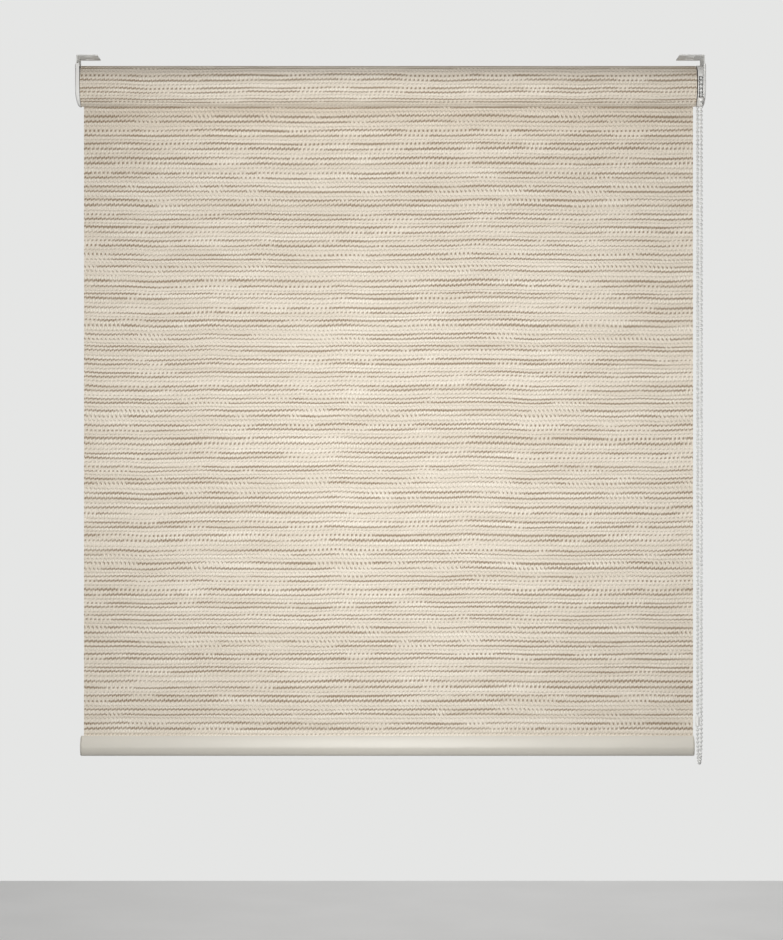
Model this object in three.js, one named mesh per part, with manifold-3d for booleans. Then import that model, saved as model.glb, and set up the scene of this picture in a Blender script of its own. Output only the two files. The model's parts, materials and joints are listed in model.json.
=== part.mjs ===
/**
 * Roller blind with a bead-chain drive at its right-hand end, as seen from the room.
 *
 * Units are millimetres. +Z is up, +X is to the right and the room is on the -Y side.
 * The origin lies in the plane that the feet of the two brackets are screwed up against,
 * midway between the blind's outer faces and straight above the axis of the roller.
 */
import * as THREE from "three";
import { mergeVertices } from "three/addons/utils/BufferGeometryUtils.js";
import Module from "manifold-3d";

// ---------------------------------------------------------------- driving dimensions
const OVERALL_WIDTH = 900; // outer face to outer face of the bracket covers
const AXIS_DROP = 42; // fixing plane to the roller's axis
const BAR_TOP_DROP = 977.4; // fixing plane to the top of the bottom bar
const GAP = 0.3; // between neighbouring pieces that touch
const RUNNING_GAP = 0.35; // round a turning or sliding piece

const IDLE_ALLOWANCE = 6.6; // outer face to the edge of the cloth, at the idle end
const CONTROL_ALLOWANCE = 12.6; // and at the chain end

// Roller tube
const TUBE_RADIUS = 22.5;
const TUBE_WALL = 1.5;
const KEYWAY_WIDTH = 5;
const KEYWAY_DEPTH = 2.6;
const KEYWAY_WALL = 1.5;

// Cloth
const CLOTH_THICKNESS = 0.8;
const ROLL_RADIUS = 29; // the wound cloth, with the blind let down

// Bead chain and its wheel
const BEAD_DIAMETER = 4.5;
const BEAD_PITCH = 6;
const WHEEL_POCKETS = 26;
const CHAIN_BOTTOM_DROP = 1014; // fixing plane to the centreline at the foot of the loop
const CHAIN_BEND_DEPTH = 44; // height of the rounded foot of the loop
const GROOVE_CLEARANCE = 0.25; // round a bead in the wheel's groove
const POCKET_CLEARANCE = 0.5; // round a bead in its pocket
const BEAD_STAND_OUT = 1.8; // wheel's rim to the beads' centres
const WHEEL_INNER_FLANGE = 0.55; // side of a bead to the wheel's inner face
const WHEEL_OUTER_FLANGE = 0.05; // side of a bead to the wheel's outer face
const STOP_WALL = 1.75; // the stop bead, outside the bead that it clips over
const STOP_DROP = 64; // fixing plane to the centre of the stop bead
const CONNECTOR_WALL = 0.45;
const CONNECTOR_LENGTH = 14;
const CONNECTOR_DROP = 956;

// Brackets and their covers
const STEEL_THICKNESS = 1.5;
const PLATE_HALF_DEPTH = 26;
const PLATE_SHOULDER_DROP = 14; // fixing plane to where the plates start to narrow
const IDLE_PLATE_RADIUS = 13; // the plates' rounded lower ends, about the roller's axis
const CONTROL_PLATE_RADIUS = 21;
const IDLE_FOOT_LENGTH = 30;
const CONTROL_FOOT_LENGTH = 36;
const FOOT_SLOT_WIDTH = 5.2;
const FOOT_SLOT_LENGTH = 13;
const FOOT_SLOT_OFFSET = 13; // from the middle of the foot, each way
const COVER_WALL = 1;
const COVER_RADIUS = 30;
const COVER_TOP_DROP = 13; // fixing plane to the top of the covers
const IDLE_COVER_TAPER = 2.6; // how far a cover's face leans in at its foot
const CONTROL_COVER_TAPER = 1.2;
const IDLE_COVER_DEPTH = 6;
const CONTROL_COVER_DEPTH = 2.9;

// Chain drive
const GUARD_CLEARANCE = 0.8; // beads on the wheel to the housing's rim
const HOUSING_RIM = 1.6;
const HOUSING_OUTER_WALL = 0.9;
const HOUSING_INNER_WALL = 1.3;
const HOUSING_MOUTH_DROP = 31; // fixing plane to the top of the chain's mouth
const HUB_HOLE_RADIUS = 13;
const LUG_WIDTH = 6;
const LUG_HEIGHT = 2.4;
const LUG_OFFSET = 14; // axis to each lug, fore and aft
const GUARD_HALF_ANGLE = 40; // degrees either side of straight down
const HUB_RADIUS = 11;
const HUB_BORE_RADIUS = 7.2;
const HUB_LENGTH = 44;
const HUB_LAND = 4; // length of the bearing at each end of the hub's bore
const SPINDLE_RADIUS = 5;
const SPIGOT_SIDE = 7;
const SPRING_WIRE = 1.5;
const SPRING_TURNS = 5;
const SPRING_PITCH = 1.8;
const SPRING_SPACING = 15;
const CORE_LENGTH = 38;
const SCREW_RADIUS = 1.5;
const SCREW_LENGTH = 12;
const SCREW_HEAD_RADIUS = 3.2;
const SCREW_HEAD_HEIGHT = 2.2;
const WASHER_RADIUS = 9;
const WASHER_THICKNESS = 1.2;

// Idle end
const PIN_RADIUS = 4;
const PIN_LENGTH = 39;
const COLLAR_RADIUS = 6.1;
const COLLAR_LENGTH = 2;
const CHAMBER_RADIUS = 6.5;
const CHAMBER_LENGTH = 25;
const PLUG_LENGTH = 32;
const PLUG_WALL = 2.6;
const PLUG_RIM_THICKNESS = 1;
const BUSH_RADIUS = 7;
const BUSH_FLANGE_RADIUS = 9.5;
const BUSH_FLANGE_THICKNESS = 1.6;
const PIN_SPRING_WIRE = 1;
const PIN_SPRING_RADIUS = 5.15;
const PIN_SPRING_TURNS = 9;

// Bottom bar
const BAR_HEIGHT = 29;
const BAR_HALF_DEPTH = 6.9;
const BAR_LIP_HALF_DEPTH = 2.2;
const BAR_WALL = 1.3;
const BAR_SLOT_WIDTH = 1.8;
const BAR_CHANNEL_RADIUS = 2.5;
const BAR_CHANNEL_DROP = 6; // top of the bar to the centre of the channel
const BAR_CAVITY_DROP = 10.5; // top of the bar to the top of the hollow
const BAR_SPLINE_RADIUS = 2.1;
const BAR_OVERHANG = 3.1; // the bar beyond the cloth, at the idle end
const CAP_THICKNESS = 1.9;
const CAP_BEVEL = 0.9;
const CAP_TENON_LENGTH = 12;

// ------------------------------------------------------------------ worked-out places
const OUTER = OVERALL_WIDTH / 2;
const CLOTH_LEFT = -OUTER + IDLE_ALLOWANCE;
const CLOTH_RIGHT = OUTER - CONTROL_ALLOWANCE;
const BAR_LEFT = CLOTH_LEFT - BAR_OVERHANG;
const PLATE_OUTER = OUTER - COVER_WALL - GAP;
const PLATE_INNER = PLATE_OUTER - STEEL_THICKNESS;
const HOUSING_OUTER = PLATE_INNER - GAP;
const BEAD_RADIUS = BEAD_DIAMETER / 2;
const CHAIN_PLANE = HOUSING_OUTER - HOUSING_OUTER_WALL - RUNNING_GAP - BEAD_RADIUS;
const PITCH_RADIUS = (WHEEL_POCKETS * BEAD_PITCH) / (2 * Math.PI);
const WHEEL_RADIUS = PITCH_RADIUS - BEAD_STAND_OUT;
const WHEEL_INNER = CHAIN_PLANE - BEAD_RADIUS - WHEEL_INNER_FLANGE;
const WHEEL_OUTER = CHAIN_PLANE + BEAD_RADIUS + WHEEL_OUTER_FLANGE;
const HOUSING_RADIUS = PITCH_RADIUS + BEAD_RADIUS + GUARD_CLEARANCE + HOUSING_RIM;
const HOUSING_INNER = WHEEL_INNER - GAP - HOUSING_INNER_WALL;
const TUBE_BORE = TUBE_RADIUS - TUBE_WALL;
const KEY_RADIUS = TUBE_RADIUS - KEYWAY_DEPTH - KEYWAY_WALL; // underside of the keyway's floor
const CLOTH_PLANE = ROLL_RADIUS + GAP + CLOTH_THICKNESS / 2;

const FINE = 64; // sides of the large round pieces
const ROUND = 48;
const SMALL = 24;

// ----------------------------------------------------------------------- small helpers
const wasm = await Module();
wasm.setup();

/** A closed BufferGeometry as a manifold-3d solid with its faces pointing out. */
function solid(geometry) {
  const bare = geometry.clone();
  bare.deleteAttribute("normal");
  bare.deleteAttribute("uv");
  const merged = mergeVertices(bare, 1e-4);
  const made = (triVerts) =>
    new wasm.Manifold(
      new wasm.Mesh({
        numProp: 3,
        vertProperties: merged.attributes.position.array,
        triVerts,
      }),
    );
  const faces = new Uint32Array(merged.index.array);
  const first = made(faces);
  if (first.volume() > 0) return first;
  return made(faces.reverse());
}

/** A named mesh of a manifold-3d solid. */
function node(name, body, material) {
  const { numProp, vertProperties, triVerts } = body.getMesh();
  const positions = new Float32Array(triVerts.length * 3);
  triVerts.forEach((vertex, i) => {
    const start = vertex * numProp;
    positions.set(vertProperties.subarray(start, start + 3), i * 3);
  });
  const geometry = new THREE.BufferGeometry();
  geometry.setAttribute("position", new THREE.BufferAttribute(positions, 3));
  geometry.computeVertexNormals();
  const mesh = new THREE.Mesh(geometry, material);
  mesh.name = name;
  return mesh;
}

/** A box between two opposite corners. */
function block([x0, y0, z0], [x1, y1, z1]) {
  const box = new THREE.BoxGeometry(x1 - x0, y1 - y0, z1 - z0);
  return solid(box.translate((x0 + x1) / 2, (y0 + y1) / 2, (z0 + z1) / 2));
}

/** A closed [x, radius] profile turned about the X axis. */
function turned(profile, sides) {
  const points = [...profile, profile[0]].map(([x, r]) => new THREE.Vector2(r, x));
  return solid(new THREE.LatheGeometry(points, sides).rotateZ(-Math.PI / 2));
}

/** A round bar along the X axis. */
function rod(x0, x1, radius, sides = SMALL) {
  const bar = new THREE.CylinderGeometry(radius, radius, x1 - x0, sides);
  return solid(bar.rotateZ(-Math.PI / 2).translate((x0 + x1) / 2, 0, 0));
}

/** A tube along the X axis. */
function sleeve(x0, x1, outer, inner, sides = SMALL) {
  return rod(x0, x1, outer, sides).subtract(rod(x0 - 1, x1 + 1, inner, sides));
}

/** An outline drawn in Y and Z, carried along X. */
function alongX(shape, x0, x1, curveSegments = 12) {
  const geometry = new THREE.ExtrudeGeometry(shape, {
    depth: x1 - x0,
    bevelEnabled: false,
    curveSegments,
  });
  const turn = new THREE.Matrix4().makeBasis(
    new THREE.Vector3(0, 1, 0),
    new THREE.Vector3(0, 0, 1),
    new THREE.Vector3(1, 0, 0),
  );
  return solid(geometry.applyMatrix4(turn).translate(x0, 0, 0));
}

/** A curve through stations that may be unevenly spaced. */
class Stations extends THREE.Curve {
  constructor(points) {
    super();
    this.points = points;
  }
  getPoint(t) {
    const last = this.points.length - 1;
    const at = Math.min(Math.max(t, 0), 1) * last;
    const i = Math.min(Math.floor(at), last - 1);
    return this.points[i].clone().lerp(this.points[i + 1], at - i);
  }
  getPointAt(u) {
    return this.getPoint(u);
  }
  getTangentAt(u) {
    const step = 0.5 / (this.points.length - 1);
    const ahead = this.getPoint(u + step);
    return ahead.sub(this.getPoint(u - step)).normalize();
  }
}

/** A regular polygon as a cross-section. */
function section(radius, sides) {
  const corners = Array.from({ length: sides }, (_, i) => {
    const angle = (2 * Math.PI * i) / sides;
    return new THREE.Vector2(radius * Math.cos(angle), radius * Math.sin(angle));
  });
  return new THREE.Shape(corners);
}

/** A round wire or cord that follows a list of points. */
function wire(points, radius, sides) {
  const geometry = new THREE.ExtrudeGeometry(section(radius, sides), {
    steps: points.length - 1,
    extrudePath: new Stations(points),
  });
  return solid(geometry);
}

/** A coil spring along the X axis. */
function coil(x0, x1, radius, wireDiameter, turns) {
  const perTurn = 10;
  const points = Array.from({ length: turns * perTurn + 1 }, (_, i) => {
    const angle = (2 * Math.PI * i) / perTurn;
    const x = THREE.MathUtils.lerp(x0, x1, i / (turns * perTurn));
    return new THREE.Vector3(x, radius * Math.cos(angle), radius * Math.sin(angle));
  });
  return wire(points, wireDiameter / 2, 5);
}

// --------------------------------------------------------------------------- materials
const material = (color, roughness, metalness = 0) =>
  new THREE.MeshStandardMaterial({ color, roughness, metalness });
const FINISH = {
  whiteSteel: material(0xe9e8e6, 0.45, 0.2),
  whitePlastic: material(0xf2f1ee, 0.35),
  greyNylon: material(0xb9bbbd, 0.55),
  steel: material(0x9a9c9f, 0.3, 1),
  aluminium: material(0xc4c6c8, 0.35, 1),
  cloth: material(0xd6cbb9, 0.9),
  barPaint: material(0xdbd6ca, 0.45, 0.1),
  barPlastic: material(0xd8d3c8, 0.5),
  chainPlastic: material(0xe4e5e4, 0.3),
};

// ----------------------------------------------------------------- brackets and covers
/** Flat-topped outline with a half-round foot about the roller's axis. */
function tombstone(radius, topDrop) {
  const shape = new THREE.Shape();
  shape.moveTo(radius, -topDrop);
  shape.lineTo(-radius, -topDrop);
  shape.lineTo(-radius, -AXIS_DROP);
  shape.absarc(0, -AXIS_DROP, radius, Math.PI, 2 * Math.PI, false);
  shape.closePath();
  return shape;
}

/** A hanging plate that narrows to a rounded end about the roller's axis. */
function plateOutline(radius) {
  const shape = new THREE.Shape();
  shape.moveTo(PLATE_HALF_DEPTH, 0);
  shape.lineTo(-PLATE_HALF_DEPTH, 0);
  shape.lineTo(-PLATE_HALF_DEPTH, -PLATE_SHOULDER_DROP);
  shape.lineTo(-radius, -AXIS_DROP);
  shape.absarc(0, -AXIS_DROP, radius, Math.PI, 2 * Math.PI, false);
  shape.lineTo(PLATE_HALF_DEPTH, -PLATE_SHOULDER_DROP);
  shape.closePath();
  return shape;
}

/** The right-hand bracket's blank: a hanging plate and a slotted foot. */
function bracketBlank(plateRadius, footLength) {
  const plate = alongX(plateOutline(plateRadius), PLATE_INNER, PLATE_OUTER);
  const footEnd = PLATE_OUTER - footLength;
  const foot = block(
    [footEnd, -PLATE_HALF_DEPTH, -STEEL_THICKNESS],
    [PLATE_OUTER, PLATE_HALF_DEPTH, 0],
  );
  const middle = (footEnd + PLATE_INNER) / 2;
  const slots = [-1, 1].map((side) => footSlot(middle, side * FOOT_SLOT_OFFSET));
  return slots.reduce((left, slot) => left.subtract(slot), plate.add(foot));
}

/** A round-ended slot through a foot, long way across the blind. */
function footSlot(x, y) {
  const reach = (FOOT_SLOT_LENGTH - FOOT_SLOT_WIDTH) / 2;
  const half = FOOT_SLOT_WIDTH / 2;
  const shape = new THREE.Shape();
  shape.moveTo(x - reach, y - half);
  shape.lineTo(x + reach, y - half);
  shape.absarc(x + reach, y, half, -Math.PI / 2, Math.PI / 2, false);
  shape.lineTo(x - reach, y + half);
  shape.absarc(x - reach, y, half, Math.PI / 2, (3 * Math.PI) / 2, false);
  const cutter = new THREE.ExtrudeGeometry(shape, {
    depth: 3 * STEEL_THICKNESS,
    bevelEnabled: false,
    curveSegments: 6,
  });
  return solid(cutter.translate(0, 0, -2 * STEEL_THICKNESS));
}

function mirrored(body) {
  return body.mirror([1, 0, 0]);
}

function onAxis(body) {
  return body.translate([0, 0, -AXIS_DROP]);
}

function idleBracket() {
  const hole = rod(PLATE_INNER - 1, PLATE_OUTER + 1, BUSH_RADIUS + GAP);
  const blank = bracketBlank(IDLE_PLATE_RADIUS, IDLE_FOOT_LENGTH).subtract(onAxis(hole));
  return node("idle_bracket", mirrored(blank), FINISH.whiteSteel);
}

function controlBracket() {
  const half = SPIGOT_SIDE / 2 + GAP;
  const square = block([PLATE_INNER - 1, -half, -half], [PLATE_OUTER + 1, half, half]);
  const slots = [-1, 1].map((side) => lug(side, PLATE_INNER - 1, PLATE_OUTER + 1, GAP));
  const openings = slots.reduce((all, slot) => all.add(slot), square);
  const blank = bracketBlank(CONTROL_PLATE_RADIUS, CONTROL_FOOT_LENGTH);
  return node("control_bracket", blank.subtract(onAxis(openings)), FINISH.whiteSteel);
}

/** A lug of the drive housing, grown by a clearance to cut its slot in the bracket. */
function lug(side, x0, x1, clearance) {
  const halfWidth = LUG_WIDTH / 2 + clearance;
  const halfHeight = LUG_HEIGHT / 2 + clearance;
  const y = side * LUG_OFFSET;
  return block([x0, y - halfWidth, -halfHeight], [x1, y + halfWidth, halfHeight]);
}

/** The side view of a cover, drawn in X and Z, carried from front to back. */
function coverSide(inset, rimEnd, taper, plateRadius) {
  const face = OUTER - inset;
  const top = -COVER_TOP_DROP + (inset ? 1 : 0);
  const bottom = -AXIS_DROP - COVER_RADIUS + inset;
  const shape = new THREE.Shape();
  shape.moveTo(rimEnd, top);
  shape.lineTo(rimEnd, bottom);
  shape.lineTo(face - taper, bottom);
  shape.quadraticCurveTo(face, bottom + 2 * taper, face, -AXIS_DROP - plateRadius);
  shape.lineTo(face, top);
  shape.closePath();
  const geometry = new THREE.ExtrudeGeometry(shape, {
    depth: 2 * COVER_RADIUS,
    bevelEnabled: false,
    curveSegments: 6,
  });
  return solid(geometry.rotateX(Math.PI / 2).translate(0, COVER_RADIUS, 0));
}

/** A right-hand cover: a thin shell, open towards the roller and at its top. */
function coverShell(depth, taper, plateRadius) {
  const rimEnd = OUTER - depth;
  const outside = alongX(tombstone(COVER_RADIUS, COVER_TOP_DROP), rimEnd, OUTER);
  const insideRadius = COVER_RADIUS - COVER_WALL;
  const inside = alongX(tombstone(insideRadius, COVER_TOP_DROP - 1), rimEnd - 1, OUTER);
  const body = outside.intersect(coverSide(0, rimEnd, taper, plateRadius));
  const hollow = coverSide(COVER_WALL, rimEnd - 1, taper, plateRadius);
  return body.subtract(inside.intersect(hollow));
}

function idleCover() {
  const shell = coverShell(IDLE_COVER_DEPTH, IDLE_COVER_TAPER, IDLE_PLATE_RADIUS);
  return node("idle_cover", mirrored(shell), FINISH.whitePlastic);
}

function controlCover() {
  const shell = coverShell(CONTROL_COVER_DEPTH, CONTROL_COVER_TAPER, CONTROL_PLATE_RADIUS);
  return node("control_cover", shell, FINISH.whitePlastic);
}

// --------------------------------------------------------------------------- chain drive
function clutchHousing() {
  const outerWall = HOUSING_OUTER - HOUSING_OUTER_WALL;
  const innerWall = HOUSING_INNER + HOUSING_INNER_WALL;
  const drum = rod(HOUSING_INNER, HOUSING_OUTER, HOUSING_RADIUS, FINE);
  const hollow = rod(innerWall, outerWall, HOUSING_RADIUS - HOUSING_RIM, FINE);
  const mouth = block(
    [innerWall, -2 * HOUSING_RADIUS, -2 * HOUSING_RADIUS],
    [outerWall, 2 * HOUSING_RADIUS, AXIS_DROP - HOUSING_MOUTH_DROP],
  );
  const hubHole = rod(HOUSING_INNER - 1, innerWall + 1, HUB_HOLE_RADIUS);
  const half = SPIGOT_SIDE / 2 + GAP;
  const spigotHole = block([outerWall - 1, -half, -half], [HOUSING_OUTER + 1, half, half]);
  let body = drum.subtract(hollow).subtract(mouth);
  body = body.subtract(hubHole).subtract(spigotHole);
  for (const side of [-1, 1]) {
    body = body.add(lug(side, HOUSING_OUTER - HOUSING_OUTER_WALL / 2, PLATE_OUTER - GAP, 0));
  }
  return node("clutch_housing", body, FINISH.whitePlastic);
}

/** The clip under the wheel that keeps the chain in its pockets. */
function chainGuard() {
  const x0 = HOUSING_INNER + HOUSING_INNER_WALL + GAP;
  const x1 = HOUSING_OUTER - HOUSING_OUTER_WALL - GAP;
  const half = THREE.MathUtils.degToRad(GUARD_HALF_ANGLE);
  const down = -Math.PI / 2;
  const shape = new THREE.Shape();
  shape.absarc(0, 0, HOUSING_RADIUS, down - half, down + half, false);
  shape.absarc(0, 0, HOUSING_RADIUS - HOUSING_RIM, down + half, down - half, true);
  shape.closePath();
  return node("chain_guard", alongX(shape, x0, x1, 10), FINISH.whitePlastic);
}

function clutchSpindle() {
  const inner = WHEEL_OUTER - HUB_LENGTH - GAP;
  const half = SPIGOT_SIDE / 2;
  const shoulder = WHEEL_OUTER + GAP / 2;
  const spigot = block([shoulder - 1, -half, -half], [PLATE_OUTER - GAP, half, half]);
  const bore = rod(inner - 1, inner + SCREW_LENGTH, SCREW_RADIUS + GAP, 12);
  const body = rod(inner, shoulder, SPINDLE_RADIUS).add(spigot).subtract(bore);
  return node("clutch_spindle", body, FINISH.greyNylon);
}

function wrapSpring(name, index) {
  const length = SPRING_TURNS * SPRING_PITCH;
  const middle = WHEEL_OUTER - HUB_LENGTH / 2 + (index - 0.5) * SPRING_SPACING;
  const radius = (SPINDLE_RADIUS + HUB_BORE_RADIUS) / 2;
  const body = coil(middle - length / 2, middle + length / 2, radius, SPRING_WIRE, SPRING_TURNS);
  return node(name, body, FINISH.steel);
}

function spindleWasher() {
  const x1 = WHEEL_OUTER - HUB_LENGTH - 2 * GAP;
  const body = sleeve(x1 - WASHER_THICKNESS, x1, WASHER_RADIUS, SCREW_RADIUS + GAP);
  return node("spindle_washer", body, FINISH.steel);
}

function spindleScrew() {
  const underHead = WHEEL_OUTER - HUB_LENGTH - 3 * GAP - WASHER_THICKNESS;
  const head = rod(underHead - SCREW_HEAD_HEIGHT, underHead, SCREW_HEAD_RADIUS, 16);
  const shank = rod(underHead - 0.5, underHead + SCREW_LENGTH, SCREW_RADIUS, 12);
  const cross = [0, 90].map((turn) =>
    block([underHead - 3, -2, -0.4], [underHead - 1.2, 2, 0.4]).rotate([turn, 0, 0]),
  );
  const body = head.add(shank).subtract(cross[0].add(cross[1]));
  return node("spindle_screw", body, FINISH.steel);
}

/** The wheel that the chain drives: a grooved, pocketed rim on a long hollow hub. */
function chainWheel() {
  const grooveSteps = 4;
  const grooveRadius = BEAD_RADIUS + GROOVE_CLEARANCE;
  const reach = Math.acos(BEAD_STAND_OUT / grooveRadius);
  const groove = Array.from({ length: grooveSteps + 1 }, (_, i) => {
    const angle = THREE.MathUtils.lerp(reach, -reach, i / grooveSteps);
    return [
      CHAIN_PLANE + grooveRadius * Math.sin(angle),
      PITCH_RADIUS - grooveRadius * Math.cos(angle),
    ];
  });
  const hubEnd = WHEEL_OUTER - HUB_LENGTH;
  const bearing = SPINDLE_RADIUS + RUNNING_GAP;
  const profile = [
    [WHEEL_OUTER, bearing],
    [WHEEL_OUTER, WHEEL_RADIUS],
    ...groove,
    [WHEEL_INNER, WHEEL_RADIUS],
    [WHEEL_INNER, HUB_RADIUS],
    [hubEnd, HUB_RADIUS],
    [hubEnd, bearing],
    [hubEnd + HUB_LAND, bearing],
    [hubEnd + HUB_LAND, HUB_BORE_RADIUS],
    [WHEEL_OUTER - HUB_LAND, HUB_BORE_RADIUS],
    [WHEEL_OUTER - HUB_LAND, bearing],
  ];
  let body = turned(profile, WHEEL_POCKETS * 2);
  const pocket = solid(new THREE.SphereGeometry(BEAD_RADIUS + POCKET_CLEARANCE, 6, 4));
  for (let i = 0; i < WHEEL_POCKETS; i++) {
    const angle = (2 * Math.PI * i) / WHEEL_POCKETS;
    const place = [CHAIN_PLANE, PITCH_RADIUS * Math.cos(angle), PITCH_RADIUS * Math.sin(angle)];
    body = body.subtract(pocket.translate(place));
  }
  return node("chain_wheel", body, FINISH.greyNylon);
}

/** A collar that fits inside the tube, with a notch for the keyway's floor. */
function tubeCollar(x0, x1, boreRadius) {
  const collar = sleeve(x0, x1, TUBE_BORE - GAP, boreRadius, ROUND);
  const half = KEYWAY_WIDTH / 2 + KEYWAY_WALL + GAP;
  const notch = block([x0 - 1, -half, KEY_RADIUS - GAP], [x1 + 1, half, TUBE_RADIUS + 1]);
  return collar.subtract(notch);
}

/** The collar that carries the right end of the tube on the wheel's hub. */
function driveCore() {
  const body = tubeCollar(CLOTH_RIGHT - CORE_LENGTH, CLOTH_RIGHT, HUB_RADIUS + GAP);
  return node("drive_core", body, FINISH.greyNylon);
}

// --------------------------------------------------------------------------- roller tube
function rollerTube() {
  const ring = sleeve(CLOTH_LEFT, CLOTH_RIGHT, TUBE_RADIUS, TUBE_BORE, ROUND);
  const half = KEYWAY_WIDTH / 2;
  const channel = block(
    [CLOTH_LEFT, -half - KEYWAY_WALL, KEY_RADIUS],
    [CLOTH_RIGHT, half + KEYWAY_WALL, TUBE_BORE + TUBE_WALL / 2],
  );
  const groove = block(
    [CLOTH_LEFT - 1, -half, TUBE_RADIUS - KEYWAY_DEPTH],
    [CLOTH_RIGHT + 1, half, TUBE_RADIUS + 1],
  );
  return node("roller_tube", ring.add(channel).subtract(groove), FINISH.aluminium);
}

/** The strip that locks the head of the cloth into the keyway. */
function tubeSpline() {
  const half = KEYWAY_WIDTH / 2 - GAP;
  const inset = 2;
  const body = block(
    [CLOTH_LEFT + inset, -half, TUBE_RADIUS - KEYWAY_DEPTH + GAP],
    [CLOTH_RIGHT - inset, half, TUBE_RADIUS - GAP],
  );
  return node("tube_spline", body, FINISH.greyNylon);
}

function clothRoll() {
  const body = sleeve(CLOTH_LEFT, CLOTH_RIGHT, ROLL_RADIUS, TUBE_RADIUS + GAP, FINE);
  return node("fabric_roll", body, FINISH.cloth);
}

// ------------------------------------------------------------------------------ idle end
const PLUG_END = CLOTH_LEFT - GAP;
const CHAMBER_START = PLUG_END + PLUG_WALL;
const PIN_START = -PLATE_OUTER + GAP;

/** The plug in the left end of the tube, bored for the sprung pin and its spring. */
function idlePlug() {
  const bore = PIN_RADIUS + RUNNING_GAP;
  const rimStart = PLUG_END - PLUG_RIM_THICKNESS;
  const rim = sleeve(rimStart, PLUG_END, TUBE_RADIUS - GAP, bore, ROUND);
  const chamber = rod(CHAMBER_START, CHAMBER_START + CHAMBER_LENGTH, CHAMBER_RADIUS);
  const body = tubeCollar(PLUG_END, PLUG_END + PLUG_LENGTH, bore).add(rim).subtract(chamber);
  return node("idle_plug", body, FINISH.greyNylon);
}

function idlePin() {
  const collarStart = CHAMBER_START + GAP;
  const collar = rod(collarStart, collarStart + COLLAR_LENGTH, COLLAR_RADIUS);
  const nose = 1;
  const shaft = turned(
    [
      [PIN_START, 0],
      [PIN_START, PIN_RADIUS - nose],
      [PIN_START + nose, PIN_RADIUS],
      [PIN_START + PIN_LENGTH, PIN_RADIUS],
      [PIN_START + PIN_LENGTH, 0],
    ],
    SMALL,
  );
  return node("idle_pin", shaft.add(collar), FINISH.steel);
}

function pinSpring() {
  const wireRadius = PIN_SPRING_WIRE / 2;
  const x0 = CHAMBER_START + 2 * GAP + COLLAR_LENGTH + wireRadius;
  const x1 = CHAMBER_START + CHAMBER_LENGTH - GAP - wireRadius;
  const body = coil(x0, x1, PIN_SPRING_RADIUS, PIN_SPRING_WIRE, PIN_SPRING_TURNS);
  return node("pin_spring", body, FINISH.steel);
}

function idleBush() {
  const plateInner = -PLATE_INNER;
  const bore = PIN_RADIUS + RUNNING_GAP;
  const flange = sleeve(
    plateInner + GAP,
    plateInner + GAP + BUSH_FLANGE_THICKNESS,
    BUSH_FLANGE_RADIUS,
    bore,
  );
  const neck = sleeve(PIN_START, plateInner + GAP + 0.5, BUSH_RADIUS, bore);
  return node("idle_bush", flange.add(neck), FINISH.greyNylon);
}

// ------------------------------------------------------------------- cloth and bottom bar
const CHANNEL_DROP = BAR_TOP_DROP + BAR_CHANNEL_DROP;
const SPLINE_DROP = CHANNEL_DROP + BAR_CHANNEL_RADIUS - GAP - BAR_SPLINE_RADIUS;

/** The hanging cloth, from the back of the roll down into the bar. */
function clothDrop() {
  const half = CLOTH_THICKNESS / 2;
  const bottom = -SPLINE_DROP + BAR_SPLINE_RADIUS + GAP;
  const body = block(
    [CLOTH_LEFT, CLOTH_PLANE - half, bottom],
    [CLOTH_RIGHT, CLOTH_PLANE + half, -AXIS_DROP],
  );
  return node("fabric_drop", body, FINISH.cloth);
}

/** The bar's teardrop outline about the cloth, shrunk by a wall. */
function barOutline(inset, topDrop) {
  const lip = Math.max(BAR_LIP_HALF_DEPTH - inset, 0.9);
  const wide = BAR_HALF_DEPTH - inset;
  const top = -topDrop;
  const belly = -0.62 * BAR_HEIGHT;
  const bottom = -BAR_HEIGHT + inset;
  const shape = new THREE.Shape();
  shape.moveTo(lip, top);
  shape.bezierCurveTo(lip + 2.2, top - 4, wide, belly + 8, wide, belly);
  shape.bezierCurveTo(wide, belly - 6.5, wide - 2.6, bottom, 0, bottom);
  shape.bezierCurveTo(-wide + 2.6, bottom, -wide, belly - 6.5, -wide, belly);
  shape.bezierCurveTo(-wide, belly + 8, -lip - 2.2, top - 4, -lip, top);
  shape.closePath();
  return shape;
}

function onBar(body) {
  return body.translate([0, CLOTH_PLANE, -BAR_TOP_DROP]);
}

/** The bar's lower hollow, which the caps' tenons enter. */
function barCavity(x0, x1, clearance) {
  const inset = BAR_WALL + clearance;
  const cavity = alongX(barOutline(inset, 0), x0, x1, 6);
  const ceiling = -BAR_CAVITY_DROP - clearance;
  const deep = BAR_HEIGHT + 1;
  const keep = block([x0 - 1, -deep, -deep], [x1 + 1, deep, ceiling]);
  return cavity.intersect(keep);
}

function bottomBar() {
  const x0 = BAR_LEFT;
  const x1 = CLOTH_RIGHT;
  const half = BAR_SLOT_WIDTH / 2;
  const slot = block([x0 - 1, -half, -BAR_CHANNEL_DROP], [x1 + 1, half, 1]);
  const channel = rod(x0 - 1, x1 + 1, BAR_CHANNEL_RADIUS, 16);
  const body = alongX(barOutline(0, 0), x0, x1, 6)
    .subtract(slot)
    .subtract(channel.translate([0, 0, -BAR_CHANNEL_DROP]))
    .subtract(barCavity(x0 - 1, x1 + 1, 0));
  return node("bottom_bar", onBar(body), FINISH.barPaint);
}

/** The rod that the foot of the cloth is wrapped round inside the bar. */
function barSpline() {
  const inset = 1;
  const body = rod(CLOTH_LEFT + inset, CLOTH_RIGHT - inset, BAR_SPLINE_RADIUS, 16);
  const place = [0, CLOTH_PLANE, -SPLINE_DROP];
  return node("bar_spline", body.translate(place), FINISH.greyNylon);
}

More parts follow.
